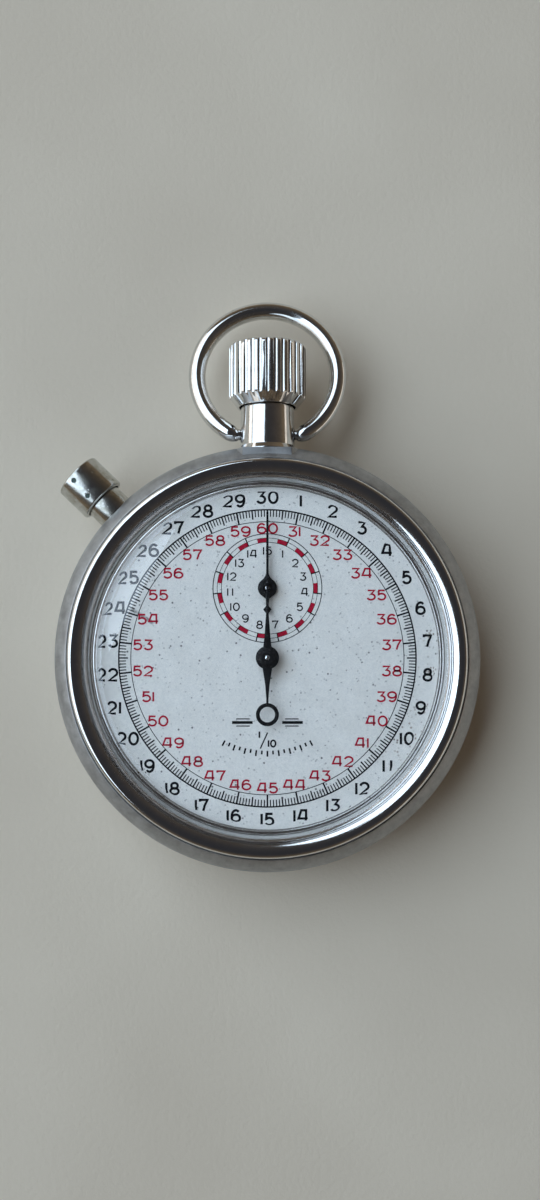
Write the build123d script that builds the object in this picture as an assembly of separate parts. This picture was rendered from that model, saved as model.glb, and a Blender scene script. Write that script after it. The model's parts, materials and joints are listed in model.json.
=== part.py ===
from build123d import *
from math import acos, asin, atan2, ceil, cos, degrees, hypot, pi, radians, sin, tan
import os

# A mechanical stopwatch: a 30-second sweep hand, a 15-minute register, a crown that winds and
# starts, and a side pusher that resets. Millimetres. The origin is the middle of the case back's
# flat face, +Z points to the dial and +Y to the crown, so +X is the dial's 3 o'clock.

# ---- case ----
CASE_R = 26.0            # the band at its widest
CASE_MID_Z = 7.0         # height of that widest ring
SHOULDER_R = 24.0        # inner edge of the sloping shoulder
SHOULDER_Z = 11.7
BAND_FOOT_R = 24.95
BAND_FOOT_Z = 2.4
GROOVE_Z = 11.3          # floor of the groove between the band and the bezel
RIM_R = 23.0             # the upright rim that the bezel snaps over
RIM_Z = 12.4
DIAL_SEAT_R = 21.9
PLATE_SEAT_R = 21.55
CAVITY_R = 21.15         # the room for the movement
PLATE_SEAT_Z = 9.45
BACK_SEAT_R = 23.6
BACK_SEAT_Z = 3.6
BOSS_HALF = 3.7          # the boss that carries the pendant
BOSS_TOP_Z = 11.15
BOSS_END_Y = 25.35
BOSS_START_Y = 23.6

BACK_FLAT_R = 17.0
BACK_WALL = 0.75

BEZEL_R = 23.6
BEZEL_LIP_R = 21.35
BEZEL_TOP_Z = 13.95

CRYSTAL_FLANGE_R = 22.28
CRYSTAL_WALL_R = 21.3
CRYSTAL_TOP_Z = 16.3
CRYSTAL_WALL = 0.85

DIAL_R = 21.85
DIAL_Z = 11.2
DIAL_THICK = 0.4
FOOT_RING_R = 18.2       # where the dial's feet stand
FOOT_R = 0.4
FOOT_ANGLES = (20, 200)

# ---- crown, pendant and bow ----
STEM_Z = 7.2             # height of the stem's axis, and of the pusher's
STEM_R = 0.7
STEM_SQUARE = 0.9
STEM_INNER_Y = 13.9
STEM_SQUARE_END_Y = 17.5
STEM_OUTER_Y = 36.0
STEM_CLEAR = 0.1

NECK_START_Y = 26.05
NECK_END_Y = 31.7
NECK_START_R = 3.4
NECK_END_R = 3.25
NECK_BORE_R = 2.2
NECK_FLOOR_Y = 26.6
SPIGOT_R = 2.4
SPIGOT_Y = 22.0

CROWN_R = 4.73
CROWN_START_Y = 30.9
CROWN_FULL_Y = 32.1
CROWN_RIM_Y = 38.0
CROWN_TOP_Y = 39.0
CROWN_FOOT_R = 3.75
CROWN_BORE_R = 3.47
CROWN_BORE_END_Y = 33.2
CROWN_FLUTES = 32
FLUTE_R = 0.34
PRESS_TRAVEL = 1.2

COLLAR_Y = 28.9
COLLAR_LENGTH = 0.6
COLLAR_R = 1.9
SHOULDER_STEM_R = 1.1    # the two shoulders of the stem that hold the collar

BOW_PIVOT_Y = 27.6
BOW_RING_R = 8.75
BOW_RING_CENTRE = 7.7    # from the pivot to the middle of the ring
BOW_WIRE_R = 1.05
BOW_PIN_R = 0.65
BOW_PIN_HOLE_R = 0.72
BOW_PIN_END_X = 2.6
BOW_END_ANGLE = 31.5     # each end of the ring, from straight down
BOW_TILT = -10.0         # how it lies: its loop drops a little behind the crown

# ---- reset pusher, along +Y before it is turned to its place ----
PUSHER_ANGLE = 46.0      # turned this far from the crown, to the left
PUSHER_TUBE_R = 2.35
PUSHER_TUBE_END_Y = 28.6
PUSHER_BORE_R = 1.5
PUSHER_FLOOR_Y = 23.2
PUSHER_SPIGOT_R = 1.9
PUSHER_SPIGOT_Y = 22.0
CAP_R = 3.0
CAP_START_Y = 28.0
CAP_END_Y = 32.5
CAP_BORE_R = 2.5
CAP_BORE_END_Y = 30.2
PUSHER_STEM_R = 0.8
PUSHER_STEM_TIP_Y = 19.6
PUSHER_STEM_END_Y = 31.4
PUSHER_FLANGE_Y = 26.0

# ---- springs of the two buttons ----
CROWN_SPRING_R = 1.7
CROWN_SPRING_WIRE_R = 0.16
PUSHER_SPRING_R = 1.15
PUSHER_SPRING_WIRE_R = 0.14
SPRING_GAP = 0.05

# ---- movement levels, from the back towards the dial ----
WINDING_Z = (4.7, 5.3)           # the crown wheel and the ratchet wheel
BARREL_BRIDGE_Z = (5.4, 6.2)
TRAIN_BRIDGE_Z = (4.4, 5.2)
COCK_Z = (3.8, 4.8)
COVER_Z = (6.3, 6.55)
DRUM_Z = (6.55, 7.55)
BARREL_TEETH_Z = (7.55, 8.05)
PLATE_Z = (8.9, 9.8)
HAMMER_Z = (9.9, 10.2)           # the hammer and the two heart cams
MINUTE_WHEEL_Z = (10.32, 10.5)
INTERMEDIATE_Z = (10.68, 10.86)
ESCAPE_Z = (6.9, 7.1)
BALANCE_Z = (5.4, 5.8)
HAIRSPRING_Z = (4.95, 5.15)
PALLET_BRIDGE_Z = (6.2, 6.5)
BRAKE_Z = (6.8, 7.4)

PLATE_R = 21.0
PLATE_FLANGE_R = 21.45
BRIDGE_R = 20.4

# ---- gear proportions, in modules or shares of the pitch ----
PRESSURE = radians(25)
WHEEL_ADDENDUM = 0.7
PINION_ADDENDUM = 0.8
DEDENDUM = 1.05
TOOTH_SHARE = 0.42

# ---- the train: teeth and modules ----
BARREL_TEETH, BARREL_MODULE = 84, 0.22
SECOND_PINION_TEETH, SECOND_TEETH, SECOND_MODULE = 12, 80, 0.18
THIRD_PINION_TEETH, THIRD_TEETH, THIRD_MODULE = 10, 75, 0.16
SWEEP_PINION_TEETH, SWEEP_TEETH, SWEEP_MODULE = 10, 80, 0.15
ESCAPE_PINION_TEETH, ESCAPE_TEETH, ESCAPE_R = 8, 15, 3.2
UNDER_DIAL_MODULE = 0.15
DRIVER_TEETH, INTERMEDIATE_TEETH = 10, 50
INTERMEDIATE_PINION_TEETH, MINUTE_TEETH = 10, 60
WINDING_MODULE = 1 / 3
CROWN_WHEEL_TEETH, RATCHET_TEETH = 36, 48
WINDING_PINION_TEETH, WINDING_PINION_R = 12, 1.5

ARBOR_R = 0.35
PIVOT_R = 0.15
PIVOT_CLEAR = 0.05
JEWEL_R = 0.7
JEWEL_THICK = 0.4
SWEEP_ARBOR_R = 0.45
MINUTE_ARBOR_R = 0.4


def polar(radius, degrees_from_x, about=(0, 0)):
    """The point at a distance and a direction from another point."""
    turn = radians(degrees_from_x)
    return (about[0] + radius * cos(turn), about[1] + radius * sin(turn))


def between(one, other):
    """The distance and the direction, in radians, from one point to another."""
    dx, dy = other[0] - one[0], other[1] - one[1]
    return hypot(dx, dy), atan2(dy, dx)


def pitch_distance(teeth, other_teeth, module):
    return module * (teeth + other_teeth) / 2


# ---- where the arbors stand ----
SWEEP_AT = (0.0, 0.0)
THIRD_AT = polar(pitch_distance(THIRD_TEETH, SWEEP_PINION_TEETH, THIRD_MODULE), -100)
SECOND_AT = polar(
    pitch_distance(SECOND_TEETH, THIRD_PINION_TEETH, SECOND_MODULE), -5.2, THIRD_AT)
BARREL_AT = polar(
    pitch_distance(BARREL_TEETH, SECOND_PINION_TEETH, BARREL_MODULE), 67.2, SECOND_AT)
ESCAPE_LINE = 170.0      # the line of escape wheel, pallets and balance, from +X
ESCAPE_AT = polar(
    pitch_distance(SWEEP_TEETH, ESCAPE_PINION_TEETH, SWEEP_MODULE), ESCAPE_LINE)
PALLET_AT = polar(3.7, ESCAPE_LINE, ESCAPE_AT)
BALANCE_AT = polar(4.25, ESCAPE_LINE, PALLET_AT)
INTERMEDIATE_AT = polar(
    pitch_distance(DRIVER_TEETH, INTERMEDIATE_TEETH, UNDER_DIAL_MODULE), 55.5)
MINUTE_AT = (0.0, 8.3)
CROWN_WHEEL_AT = (0.0, 11.0)
BRAKE_AT = (-8.5, 12.5)
HAMMER_AT = (-16.0, 3.5)

BARREL_PILLARS = ((14.6, 12.4), (6.0, 17.5), (-5.5, 17.8), (15.8, -9.5))
TRAIN_PILLARS = ((-7.5, -15.5), (8.0, -17.0), (-8.1, -4.5))
COCK_FOOT = (-12.6, -4.6)
PALLET_PILLAR_REACH = 3.4
PILLAR_R = 1.1
SLIM_PILLAR_R = 0.7
SCREW_HEAD_R = 0.75
SCREW_HEAD = 0.3
SCREW_R = 0.4
CASE_SCREW_ANGLES = (60, 190, 280)
CASE_SCREW_RING_R = 20.4


# ---- building blocks ----
def disc(radius, levels, at=(0, 0)):
    low, high = levels
    return Pos(at[0], at[1], low) * Cylinder(
        radius, high - low, align=(Align.CENTER, Align.CENTER, Align.MIN))


def ring(outer, inner, levels, at=(0, 0)):
    return disc(outer, levels, at) - disc(inner, (levels[0] - 1, levels[1] + 1), at)


def block(xs, ys, zs):
    """A box from its ends along each axis."""
    size = [ends[1] - ends[0] for ends in (xs, ys, zs)]
    middle = [(ends[0] + ends[1]) / 2 for ends in (xs, ys, zs)]
    return Pos(*middle) * Box(*size)


def prism(points, levels):
    """An outline in plan, raised between two levels."""
    low, high = levels
    face = make_face(Polyline(*points, close=True))
    return Pos(0, 0, low) * extrude(face, high - low)


def bar(start, end, width, levels):
    """A straight bar with round ends."""
    length, turn = between(start, end)
    middle = ((start[0] + end[0]) / 2, (start[1] + end[1]) / 2)
    web = Pos(middle[0], middle[1], (levels[0] + levels[1]) / 2) * Rot(0, 0, degrees(turn))
    web = web * Box(length, width, levels[1] - levels[0])
    return web + disc(width / 2, levels, start) + disc(width / 2, levels, end)


def rod(radius, ys, x=0.0, z=STEM_Z):
    """A cylinder along Y."""
    return Pos(x, ys[0], z) * Rot(-90, 0, 0) * Cylinder(
        radius, ys[1] - ys[0], align=(Align.CENTER, Align.CENTER, Align.MIN))


def turned(outline):
    """A solid turned about Z, from an outline in the XZ plane."""
    return revolve(make_face(outline), Axis.Z, 360)


def turned_on_stem(points):
    """A solid turned about the stem's axis, from (radius, y) points."""
    corners = [(radius, y, STEM_Z) for radius, y in points]
    axis = Axis((0, 0, STEM_Z), (0, 1, 0))
    return revolve(make_face(Polyline(*corners, close=True)), axis, 360)


def to_pusher(solid):
    """Turns a solid built on the crown's axis to the pusher's axis."""
    return Rot(0, 0, PUSHER_ANGLE) * solid


def line(*points):
    return Polyline(*[(radius, 0, z) for radius, z in points])


def arc(start, middle, end):
    return ThreePointArc(*[(radius, 0, z) for radius, z in (start, middle, end)])


def dome(edge, top_z):
    """The arc from an edge up to the axis, part of a sphere centred on the axis."""
    radius, z = edge
    rise = top_z - z
    sphere_r = (radius ** 2 + rise ** 2) / (2 * rise)
    half_turn = asin(radius / sphere_r) / 2
    middle = (sphere_r * sin(half_turn), top_z - sphere_r + sphere_r * cos(half_turn))
    return arc(edge, middle, (0, top_z))


def screw(at, head_z, towards, shaft, head_r=SCREW_HEAD_R, shaft_r=SCREW_R):
    """A slotted screw: its head stands on head_z and its shaft goes up from there."""
    head = disc(head_r, (head_z - towards, head_z), at)
    slot = Pos(at[0], at[1], head_z - towards) * Box(3 * head_r, head_r / 3, towards)
    return head - slot + disc(shaft_r, (head_z, head_z + shaft), at)


def tooth_outline(teeth, module, addendum, phase, steps):
    """The outline of a gear with involute flanks, as corners in order."""
    pitch_r = module * teeth / 2
    base_r = pitch_r * cos(PRESSURE)
    root_r = pitch_r - DEDENDUM * module
    tip_r = pitch_r + addendum * module
    half_at_pitch = TOOTH_SHARE * pi / teeth

    def half_angle(radius):
        slope = acos(min(base_r / radius, 1.0))
        return half_at_pitch + (tan(PRESSURE) - PRESSURE) - (tan(slope) - slope)

    lowest = max(base_r, root_r)
    flank = [root_r] if root_r < base_r else []
    flank += [lowest + (tip_r - lowest) * step / steps for step in range(steps + 1)]
    corners = []
    for tooth in range(teeth):
        centre = phase + 2 * pi * tooth / teeth
        for side, radii in ((-1, flank), (1, flank[::-1])):
            for radius in radii:
                turn = centre + side * half_angle(radius)
                corners.append((radius * cos(turn), radius * sin(turn)))
    return corners


def meshed_phase(driver_at, driver_teeth, driver_phase, at, teeth):
    """The phase that puts a gear's gap where the driver has a tooth."""
    turn = between(driver_at, at)[1]
    driver_pitch, pitch = 2 * pi / driver_teeth, 2 * pi / teeth
    return turn + pi - pitch * (0.5 - (turn - driver_phase) / driver_pitch)


def window(inner, outer, start, end):
    """An opening between two spokes, as corners."""
    corners = [polar(outer, start + (end - start) * step / 4) for step in range(5)]
    return corners + [polar(inner, end + (start - end) * step / 2) for step in range(3)]


def spoked(teeth, module, phase, levels, bore, at, spokes=5):
    """A train wheel: toothed rim, straight spokes and a flat-sided bore on its arbor."""
    wheel = prism(tooth_outline(teeth, module, WHEEL_ADDENDUM, phase, 2), levels)
    rim_inner = module * teeth / 2 - 4.5 * module
    hub = bore + 0.7
    share = 360 / spokes
    for number in range(spokes):
        start = number * share + share * 0.12
        end = (number + 1) * share - share * 0.12
        wheel -= prism(window(hub, rim_inner, start, end), (levels[0] - 1, levels[1] + 1))
    hole = RegularPolygon(bore, 16, major_radius=False)
    wheel -= Pos(0, 0, levels[0] - 1) * extrude(hole, levels[1] - levels[0] + 2)
    return Pos(at[0], at[1], 0) * wheel


def pinion(teeth, module, phase, levels, at):
    return Pos(at[0], at[1], 0) * prism(
        tooth_outline(teeth, module, PINION_ADDENDUM, phase, 4), levels)


def arbor(at, levels, pivots, radius=ARBOR_R):
    """A staff with a thinner pivot at each end."""
    low_pivot = disc(PIVOT_R, (pivots[0], levels[0]), at)
    high_pivot = disc(PIVOT_R, (levels[1], pivots[1]), at)
    return disc(radius, levels, at) + low_pivot + high_pivot


def ribbon_spiral(inner, outer, turns, thick, levels, at):
    """A flat spring: a ribbon wound from the inner to the outer radius."""
    steps = ceil(turns * 20)
    rings = []
    for offset in (0, thick):
        rings.append([
            polar(inner + offset + (outer - inner - thick) * step / steps, 360 * turns * step / steps)
            for step in range(steps + 1)])
    return Pos(at[0], at[1], 0) * prism(rings[0] + rings[1][::-1], levels)


def coil_on_stem(radius, wire_r, ys, turns):
    """A helical spring round the stem's axis, between two places along it."""
    low, high = ys[0] + wire_r, ys[1] - wire_r
    path = Helix((high - low) / turns, high - low, radius)
    section = Plane(origin=path @ 0, z_dir=path % 0) * Circle(wire_r)
    coil = sweep(section, path=path, is_frenet=True)
    return Pos(0, low, STEM_Z) * Rot(-90, 0, 0) * coil


# ---- phases, so that every pair of gears meshes at rest ----
SWEEP_PINION_PHASE = 0.0
THIRD_PHASE = meshed_phase(
    SWEEP_AT, SWEEP_PINION_TEETH, SWEEP_PINION_PHASE, THIRD_AT, THIRD_TEETH)
THIRD_PINION_PHASE = 0.1
SECOND_PHASE = meshed_phase(
    THIRD_AT, THIRD_PINION_TEETH, THIRD_PINION_PHASE, SECOND_AT, SECOND_TEETH)
SECOND_PINION_PHASE = 0.0
BARREL_PHASE = meshed_phase(
    SECOND_AT, SECOND_PINION_TEETH, SECOND_PINION_PHASE, BARREL_AT, BARREL_TEETH)
SWEEP_PHASE = 0.0
ESCAPE_PINION_PHASE = meshed_phase(
    SWEEP_AT, SWEEP_TEETH, SWEEP_PHASE, ESCAPE_AT, ESCAPE_PINION_TEETH)
DRIVER_PHASE = 0.0
INTERMEDIATE_PHASE = meshed_phase(
    SWEEP_AT, DRIVER_TEETH, DRIVER_PHASE, INTERMEDIATE_AT, INTERMEDIATE_TEETH)
INTERMEDIATE_PINION_PHASE = 0.0
MINUTE_PHASE = meshed_phase(
    INTERMEDIATE_AT, INTERMEDIATE_PINION_TEETH, INTERMEDIATE_PINION_PHASE,
    MINUTE_AT, MINUTE_TEETH)
CROWN_WHEEL_PHASE = pi / 2
RATCHET_PHASE = meshed_phase(
    CROWN_WHEEL_AT, CROWN_WHEEL_TEETH, CROWN_WHEEL_PHASE, BARREL_AT, RATCHET_TEETH)


# ---- case ----
def case_band():
    """The body of the case: rounded outside, stepped inside, with the pendant's boss."""
    bulge_r = ((CASE_R - SHOULDER_R) ** 2 + (SHOULDER_Z - CASE_MID_Z) ** 2) / (
        2 * (CASE_R - SHOULDER_R))
    half_turn = atan2(SHOULDER_Z - CASE_MID_Z, bulge_r - (CASE_R - SHOULDER_R)) / 2
    mid_shoulder = (
        CASE_R - bulge_r + bulge_r * cos(half_turn), CASE_MID_Z + bulge_r * sin(half_turn))
    outline = arc((BAND_FOOT_R, BAND_FOOT_Z), (25.74, 4.6), (CASE_R, CASE_MID_Z))
    outline += arc((CASE_R, CASE_MID_Z), mid_shoulder, (SHOULDER_R, SHOULDER_Z))
    outline += line(
        (SHOULDER_R, SHOULDER_Z), (SHOULDER_R - 0.05, GROOVE_Z), (RIM_R, GROOVE_Z),
        (RIM_R, RIM_Z), (DIAL_SEAT_R, RIM_Z), (DIAL_SEAT_R, DIAL_Z), (PLATE_SEAT_R, DIAL_Z),
        (PLATE_SEAT_R, PLATE_SEAT_Z), (CAVITY_R, PLATE_SEAT_Z), (CAVITY_R, BACK_SEAT_Z),
        (BACK_SEAT_R, BACK_SEAT_Z), (BACK_SEAT_R, BAND_FOOT_Z), (BAND_FOOT_R, BAND_FOOT_Z))
    band = turned(outline)
    middle_y = (BOSS_START_Y + BOSS_END_Y) / 2
    boss_face = RectangleRounded(2 * BOSS_HALF, 2 * (BOSS_TOP_Z - STEM_Z), 1.3)
    boss = Pos(0, middle_y, STEM_Z) * Rot(90, 0, 0) * extrude(
        boss_face, (BOSS_END_Y - BOSS_START_Y) / 2, both=True)
    boss -= disc(SHOULDER_R - 0.05, (GROOVE_Z - 8, RIM_Z))
    band += boss
    band -= rod(SPIGOT_R, (CAVITY_R - 1, CASE_R + 1))
    band -= rod(BOSS_HALF, (BOSS_END_Y, CASE_R + 1))
    band -= to_pusher(rod(PUSHER_SPIGOT_R, (CAVITY_R - 1, CASE_R + 1)))
    flat_seat = rod(PUSHER_TUBE_R + 0.02, (CASE_R - 0.5, CASE_R + 1))
    band -= to_pusher(flat_seat)
    screw_groove = ring(CAVITY_R + 0.6, CAVITY_R - 0.5, (8.3, 8.85))
    return band - screw_groove


def case_back():
    """The snap-on back cover: flat in the middle, rising to its rim."""
    rim_in, rim_out, rim_z = 22.6, BACK_SEAT_R - 0.02, 3.4
    edge = (BAND_FOOT_R - 0.05, BAND_FOOT_Z - 0.05)
    outline = line((0, 0), (BACK_FLAT_R, 0))
    outline += arc((BACK_FLAT_R, 0), (21.4, 0.72), edge)
    outline += line(
        edge, (rim_out, edge[1]), (rim_out, rim_z), (rim_in, rim_z), (rim_in, 2.2))
    outline += arc((rim_in, 2.2), (20.2, 1.25), (BACK_FLAT_R, BACK_WALL))
    outline += line((BACK_FLAT_R, BACK_WALL), (0, BACK_WALL), (0, 0))
    return turned(outline)


def bezel():
    """The polished ring that snaps over the band's rim, with a wide face that slopes inward."""
    foot_z = GROOVE_Z + 0.05
    crest, lip_z = (23.05, BEZEL_TOP_Z), 13.2
    outline = line((BEZEL_R, foot_z), (BEZEL_R, 13.4))
    outline += arc((BEZEL_R, 13.4), (23.44, 13.79), crest)
    outline += arc(crest, (22.12, 13.75), (BEZEL_LIP_R, lip_z))
    outline += line(
        (BEZEL_LIP_R, lip_z), (BEZEL_LIP_R, 13.0), (CRYSTAL_FLANGE_R + 0.04, 13.0),
        (CRYSTAL_FLANGE_R + 0.04, RIM_Z + 0.03), (RIM_R + 0.02, RIM_Z + 0.03),
        (RIM_R + 0.02, foot_z), (BEZEL_R, foot_z))
    return turned(outline)


def crystal():
    """The domed glass: a flange under the bezel, a steep shoulder and a low dome."""
    flange_z = (RIM_Z + 0.03, 12.97)
    shoulder, inner_shoulder = (19.2, 15.35), (19.18, 14.5)
    wall_top, inner_wall_top = 13.6, 13.43
    inner_r = CRYSTAL_WALL_R - CRYSTAL_WALL
    outline = line(
        (inner_r, flange_z[0]), (CRYSTAL_FLANGE_R, flange_z[0]),
        (CRYSTAL_FLANGE_R, flange_z[1]), (CRYSTAL_WALL_R, flange_z[1]),
        (CRYSTAL_WALL_R, wall_top))
    outline += arc((CRYSTAL_WALL_R, wall_top), (20.6, 14.8), shoulder)
    outline += dome(shoulder, CRYSTAL_TOP_Z)
    outline += line((0, CRYSTAL_TOP_Z), (0, CRYSTAL_TOP_Z - CRYSTAL_WALL))
    outline += dome(inner_shoulder, CRYSTAL_TOP_Z - CRYSTAL_WALL)
    outline += arc(inner_shoulder, (20.04, 14.16), (inner_r, inner_wall_top))
    outline += line((inner_r, inner_wall_top), (inner_r, flange_z[0]))
    return turned(outline)


def pendant_tube():
    """The neck: a spigot in the band, a bevelled skirt and a bored tube with the bow's holes."""
    hole_r = STEM_R + STEM_CLEAR
    tube = turned_on_stem([
        (hole_r, SPIGOT_Y), (SPIGOT_R, SPIGOT_Y), (SPIGOT_R, BOSS_END_Y),
        (BOSS_HALF, BOSS_END_Y), (BOSS_HALF, BOSS_END_Y + 0.12), (NECK_START_R, NECK_START_Y),
        (NECK_END_R, NECK_END_Y), (NECK_BORE_R, NECK_END_Y), (NECK_BORE_R, NECK_FLOOR_Y),
        (hole_r, NECK_FLOOR_Y)])
    reach = NECK_START_R + 1
    bow_holes = Pos(-reach, BOW_PIVOT_Y, STEM_Z) * Rot(0, 90, 0) * Cylinder(
        BOW_PIN_HOLE_R, 2 * reach, align=(Align.CENTER, Align.CENTER, Align.MIN))
    return tube - bow_holes


def pusher_tube():
    tube = rod(PUSHER_SPIGOT_R, (PUSHER_SPIGOT_Y, CASE_R - 0.5))
    tube += rod(PUSHER_TUBE_R, (CASE_R - 0.5, PUSHER_TUBE_END_Y))
    tube -= rod(PUSHER_BORE_R, (PUSHER_FLOOR_Y, PUSHER_TUBE_END_Y + 1))
    tube -= rod(PUSHER_STEM_R + 0.08, (PUSHER_SPIGOT_Y - 1, PUSHER_FLOOR_Y + 1))
    return to_pusher(tube)


# ---- dial ----
def dial():
    """The dial with its two feet, and the holes for the sweep and minute arbors."""
    plate = disc(DIAL_R, (DIAL_Z, DIAL_Z + DIAL_THICK))
    plate -= disc(SWEEP_ARBOR_R + 0.25, (DIAL_Z - 1, DIAL_Z + 1), SWEEP_AT)
    plate -= disc(MINUTE_ARBOR_R + 0.2, (DIAL_Z - 1, DIAL_Z + 1), MINUTE_AT)
    for turn in FOOT_ANGLES:
        plate += disc(FOOT_R, (PLATE_Z[0] + 0.15, DIAL_Z), polar(FOOT_RING_R, turn))
    return plate


def dial_screws():
    """Two screws in the plate's edge that clamp the dial's feet."""
    z = (PLATE_Z[0] + PLATE_SEAT_Z) / 2
    start = FOOT_RING_R + FOOT_R
    one = rod(0.2, (start, PLATE_R - 0.05), z=z)
    slot = Pos(0, PLATE_R - 0.05, z) * Box(1, 0.3, 0.08)
    return [Rot(0, 0, turn - 90) * (one - slot) for turn in FOOT_ANGLES]


def needle(root_width, waist, tip):
    """The outline of a hand along +Y: it narrows fast to its waist, then slowly to its tip."""
    side = [(root_width / 2, 0)] + [(width / 2, y) for y, width in (waist, tip)]
    return side + [(-x, y) for x, y in side[::-1]]


def sweep_hand():
    """The centre hand: a long needle, a tail with a ring, and a pipe on the arbor."""
    levels = (12.62, 12.78)
    ring_y, ring_out, ring_in = -6.7, 1.36, 0.9
    hand = prism(needle(1.15, (5.3, 0.32), (17.4, 0.26)), levels) + disc(1.4, levels)
    hand += prism([(-0.55, 0), (0.55, 0), (0.12, ring_y + 1), (-0.12, ring_y + 1)], levels)
    hand += ring(ring_out, ring_in, levels, (0, ring_y))
    hand += disc(SWEEP_ARBOR_R + 0.25, (12.3, 13.0))
    return hand - disc(SWEEP_ARBOR_R, (12.0, 12.92))


def minute_hand():
    """The register's small hand: a pointed hub, a thin needle and a diamond tail."""
    levels = (11.95, 12.09)
    hand = disc(1.16, levels) + prism([(-0.95, 0.65), (0.95, 0.65), (0, 1.75)], levels)
    hand += prism(needle(0.4, (1.8, 0.26), (4.9, 0.12)), levels)
    tail = [(-0.13, 0), (0.13, 0), (0.13, -2.0), (0.53, -2.6), (0, -3.2), (-0.53, -2.6),
            (-0.13, -2.0)]
    hand += prism(tail, levels)
    hand += disc(0.56, (11.95, 12.2))
    hand -= disc(MINUTE_ARBOR_R, (11.0, 12.15))
    return Pos(MINUTE_AT[0], MINUTE_AT[1], 0) * hand


# ---- plate, bridges and their fasteners ----
def barrel_side_cut(offset):
    """A slab over the train's side of the line that parts the two bridges."""
    start, end = (-9.0, 10.0), (17.0, -13.0)
    turn = between(start, end)[1]
    slab = Pos(start[0], start[1], 0) * Rot(0, 0, degrees(turn))
    return slab * block((-40, 70), (-60, offset), (0, 12))


def main_plate():
    """The plate that carries the train below it and the dial work above it."""
    plate = disc(PLATE_R, PLATE_Z) + disc(PLATE_FLANGE_R, (PLATE_SEAT_Z, PLATE_Z[1]))
    through = (PLATE_Z[0] - 1, PLATE_Z[1] + 1)
    for at in (SECOND_AT, THIRD_AT, SWEEP_AT, ESCAPE_AT, PALLET_AT, BALANCE_AT):
        plate -= disc(JEWEL_R, through, at)
    plate -= disc(0.88, through, BARREL_AT)
    plate -= disc(MINUTE_ARBOR_R + PIVOT_CLEAR, (PLATE_Z[0] + 0.1, through[1]), MINUTE_AT)
    for turn in FOOT_ANGLES:
        plate -= disc(FOOT_R, (PLATE_Z[0] + 0.15, through[1]), polar(FOOT_RING_R, turn))
        screw_z = (PLATE_Z[0] + PLATE_SEAT_Z) / 2
        plate -= Rot(0, 0, turn - 90) * rod(0.2, (FOOT_RING_R, PLATE_R + 1), z=screw_z)
    for turn in CASE_SCREW_ANGLES:
        plate -= disc(SCREW_R, (PLATE_Z[0] - 1, 9.5), polar(CASE_SCREW_RING_R, turn))
    plate -= to_pusher(block((-1.3, 2.2), (16.9, 30), through))
    plate -= block((-2.1, 2.1), (14.4, 16.5), (PLATE_Z[0] - 1, 9.2))
    stem_bearing = block((-1.8, 1.8), (16.7, 18.6), (5.9, PLATE_Z[0]))
    plate += stem_bearing - rod(STEM_R + STEM_CLEAR, (16, 19))
    plate += disc(0.5, (BRAKE_Z[0] - 0.1, PLATE_Z[0]), BRAKE_AT)
    plate += disc(0.5, (PLATE_Z[1], HAMMER_Z[1] + 0.2), HAMMER_AT)
    plate += disc(0.25, (PLATE_Z[1], INTERMEDIATE_Z[1] + 0.1), INTERMEDIATE_AT)
    return plate


def with_pillars(bridge, levels, pillars, radius):
    """Adds the pillars that reach the plate, and the screws' holes."""
    for at in pillars:
        bridge += disc(radius, (levels[1], PLATE_Z[0]), at)
        bridge -= disc(SCREW_R, (levels[0] - 1, levels[0] + 2), at)
    return bridge


def barrel_bridge():
    """The bridge over the barrel; a round groove lets the crown wheel's teeth turn in it."""
    low, high = BARREL_BRIDGE_Z
    bridge = disc(BRIDGE_R, BARREL_BRIDGE_Z) - barrel_side_cut(0.15)
    bridge -= ring(5.0, 4.0, (low - 1, 5.95), CROWN_WHEEL_AT)
    bridge -= block((-2.3, 2.3), (14.4, 18.9), (low - 1, high + 1))
    bridge -= disc(1.28, (low - 1, high + 1), BARREL_AT)
    bridge -= disc(0.6, (low - 1, high + 1), CROWN_WHEEL_AT)
    bridge -= disc(0.35, (low - 1, high + 1), click_pivot())
    return with_pillars(bridge, BARREL_BRIDGE_Z, BARREL_PILLARS, PILLAR_R)


def train_bridge():
    """The bridge over the second, third, sweep and escape arbors."""
    low, high = TRAIN_BRIDGE_Z
    bridge = disc(BRIDGE_R, TRAIN_BRIDGE_Z) & barrel_side_cut(-0.15)
    bridge &= block((-9.3, 30), (-30, 30), (0, 12))
    bridge -= disc(8.6, (low - 1, high + 1), BARREL_AT)
    bridge -= disc(6.6, (low - 1, high + 1), CROWN_WHEEL_AT)
    for at in (SECOND_AT, THIRD_AT, SWEEP_AT, ESCAPE_AT):
        bridge -= disc(JEWEL_R, (low - 1, high + 1), at)
    first, second, slim = TRAIN_PILLARS
    bridge = with_pillars(bridge, TRAIN_BRIDGE_Z, (first, second), PILLAR_R)
    return with_pillars(bridge, TRAIN_BRIDGE_Z, (slim,), SLIM_PILLAR_R)


def pallet_pillars():
    side = ESCAPE_LINE + 90
    return [polar(PALLET_PILLAR_REACH, turn, PALLET_AT) for turn in (side, side + 180)]


def pallet_bridge():
    low, high = PALLET_BRIDGE_Z
    one, other = pallet_pillars()
    bridge = bar(one, other, 2 * SLIM_PILLAR_R, PALLET_BRIDGE_Z)
    bridge += disc(1.2, PALLET_BRIDGE_Z, PALLET_AT)
    bridge -= disc(JEWEL_R, (low - 1, high + 1), PALLET_AT)
    return with_pillars(bridge, PALLET_BRIDGE_Z, (one, other), SLIM_PILLAR_R)


def balance_cock():
    """The cock over the balance, on its single foot."""
    low, high = COCK_Z
    cock = bar(BALANCE_AT, COCK_FOOT, 3.2, COCK_Z) + disc(2.6, COCK_Z, BALANCE_AT)
    cock -= disc(JEWEL_R, (low - 1, high + 1), BALANCE_AT)
    cock -= disc(0.25, (low - 1, high + 1), stud_at())
    return with_pillars(cock, COCK_Z, (COCK_FOOT,), 1.6)


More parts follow.
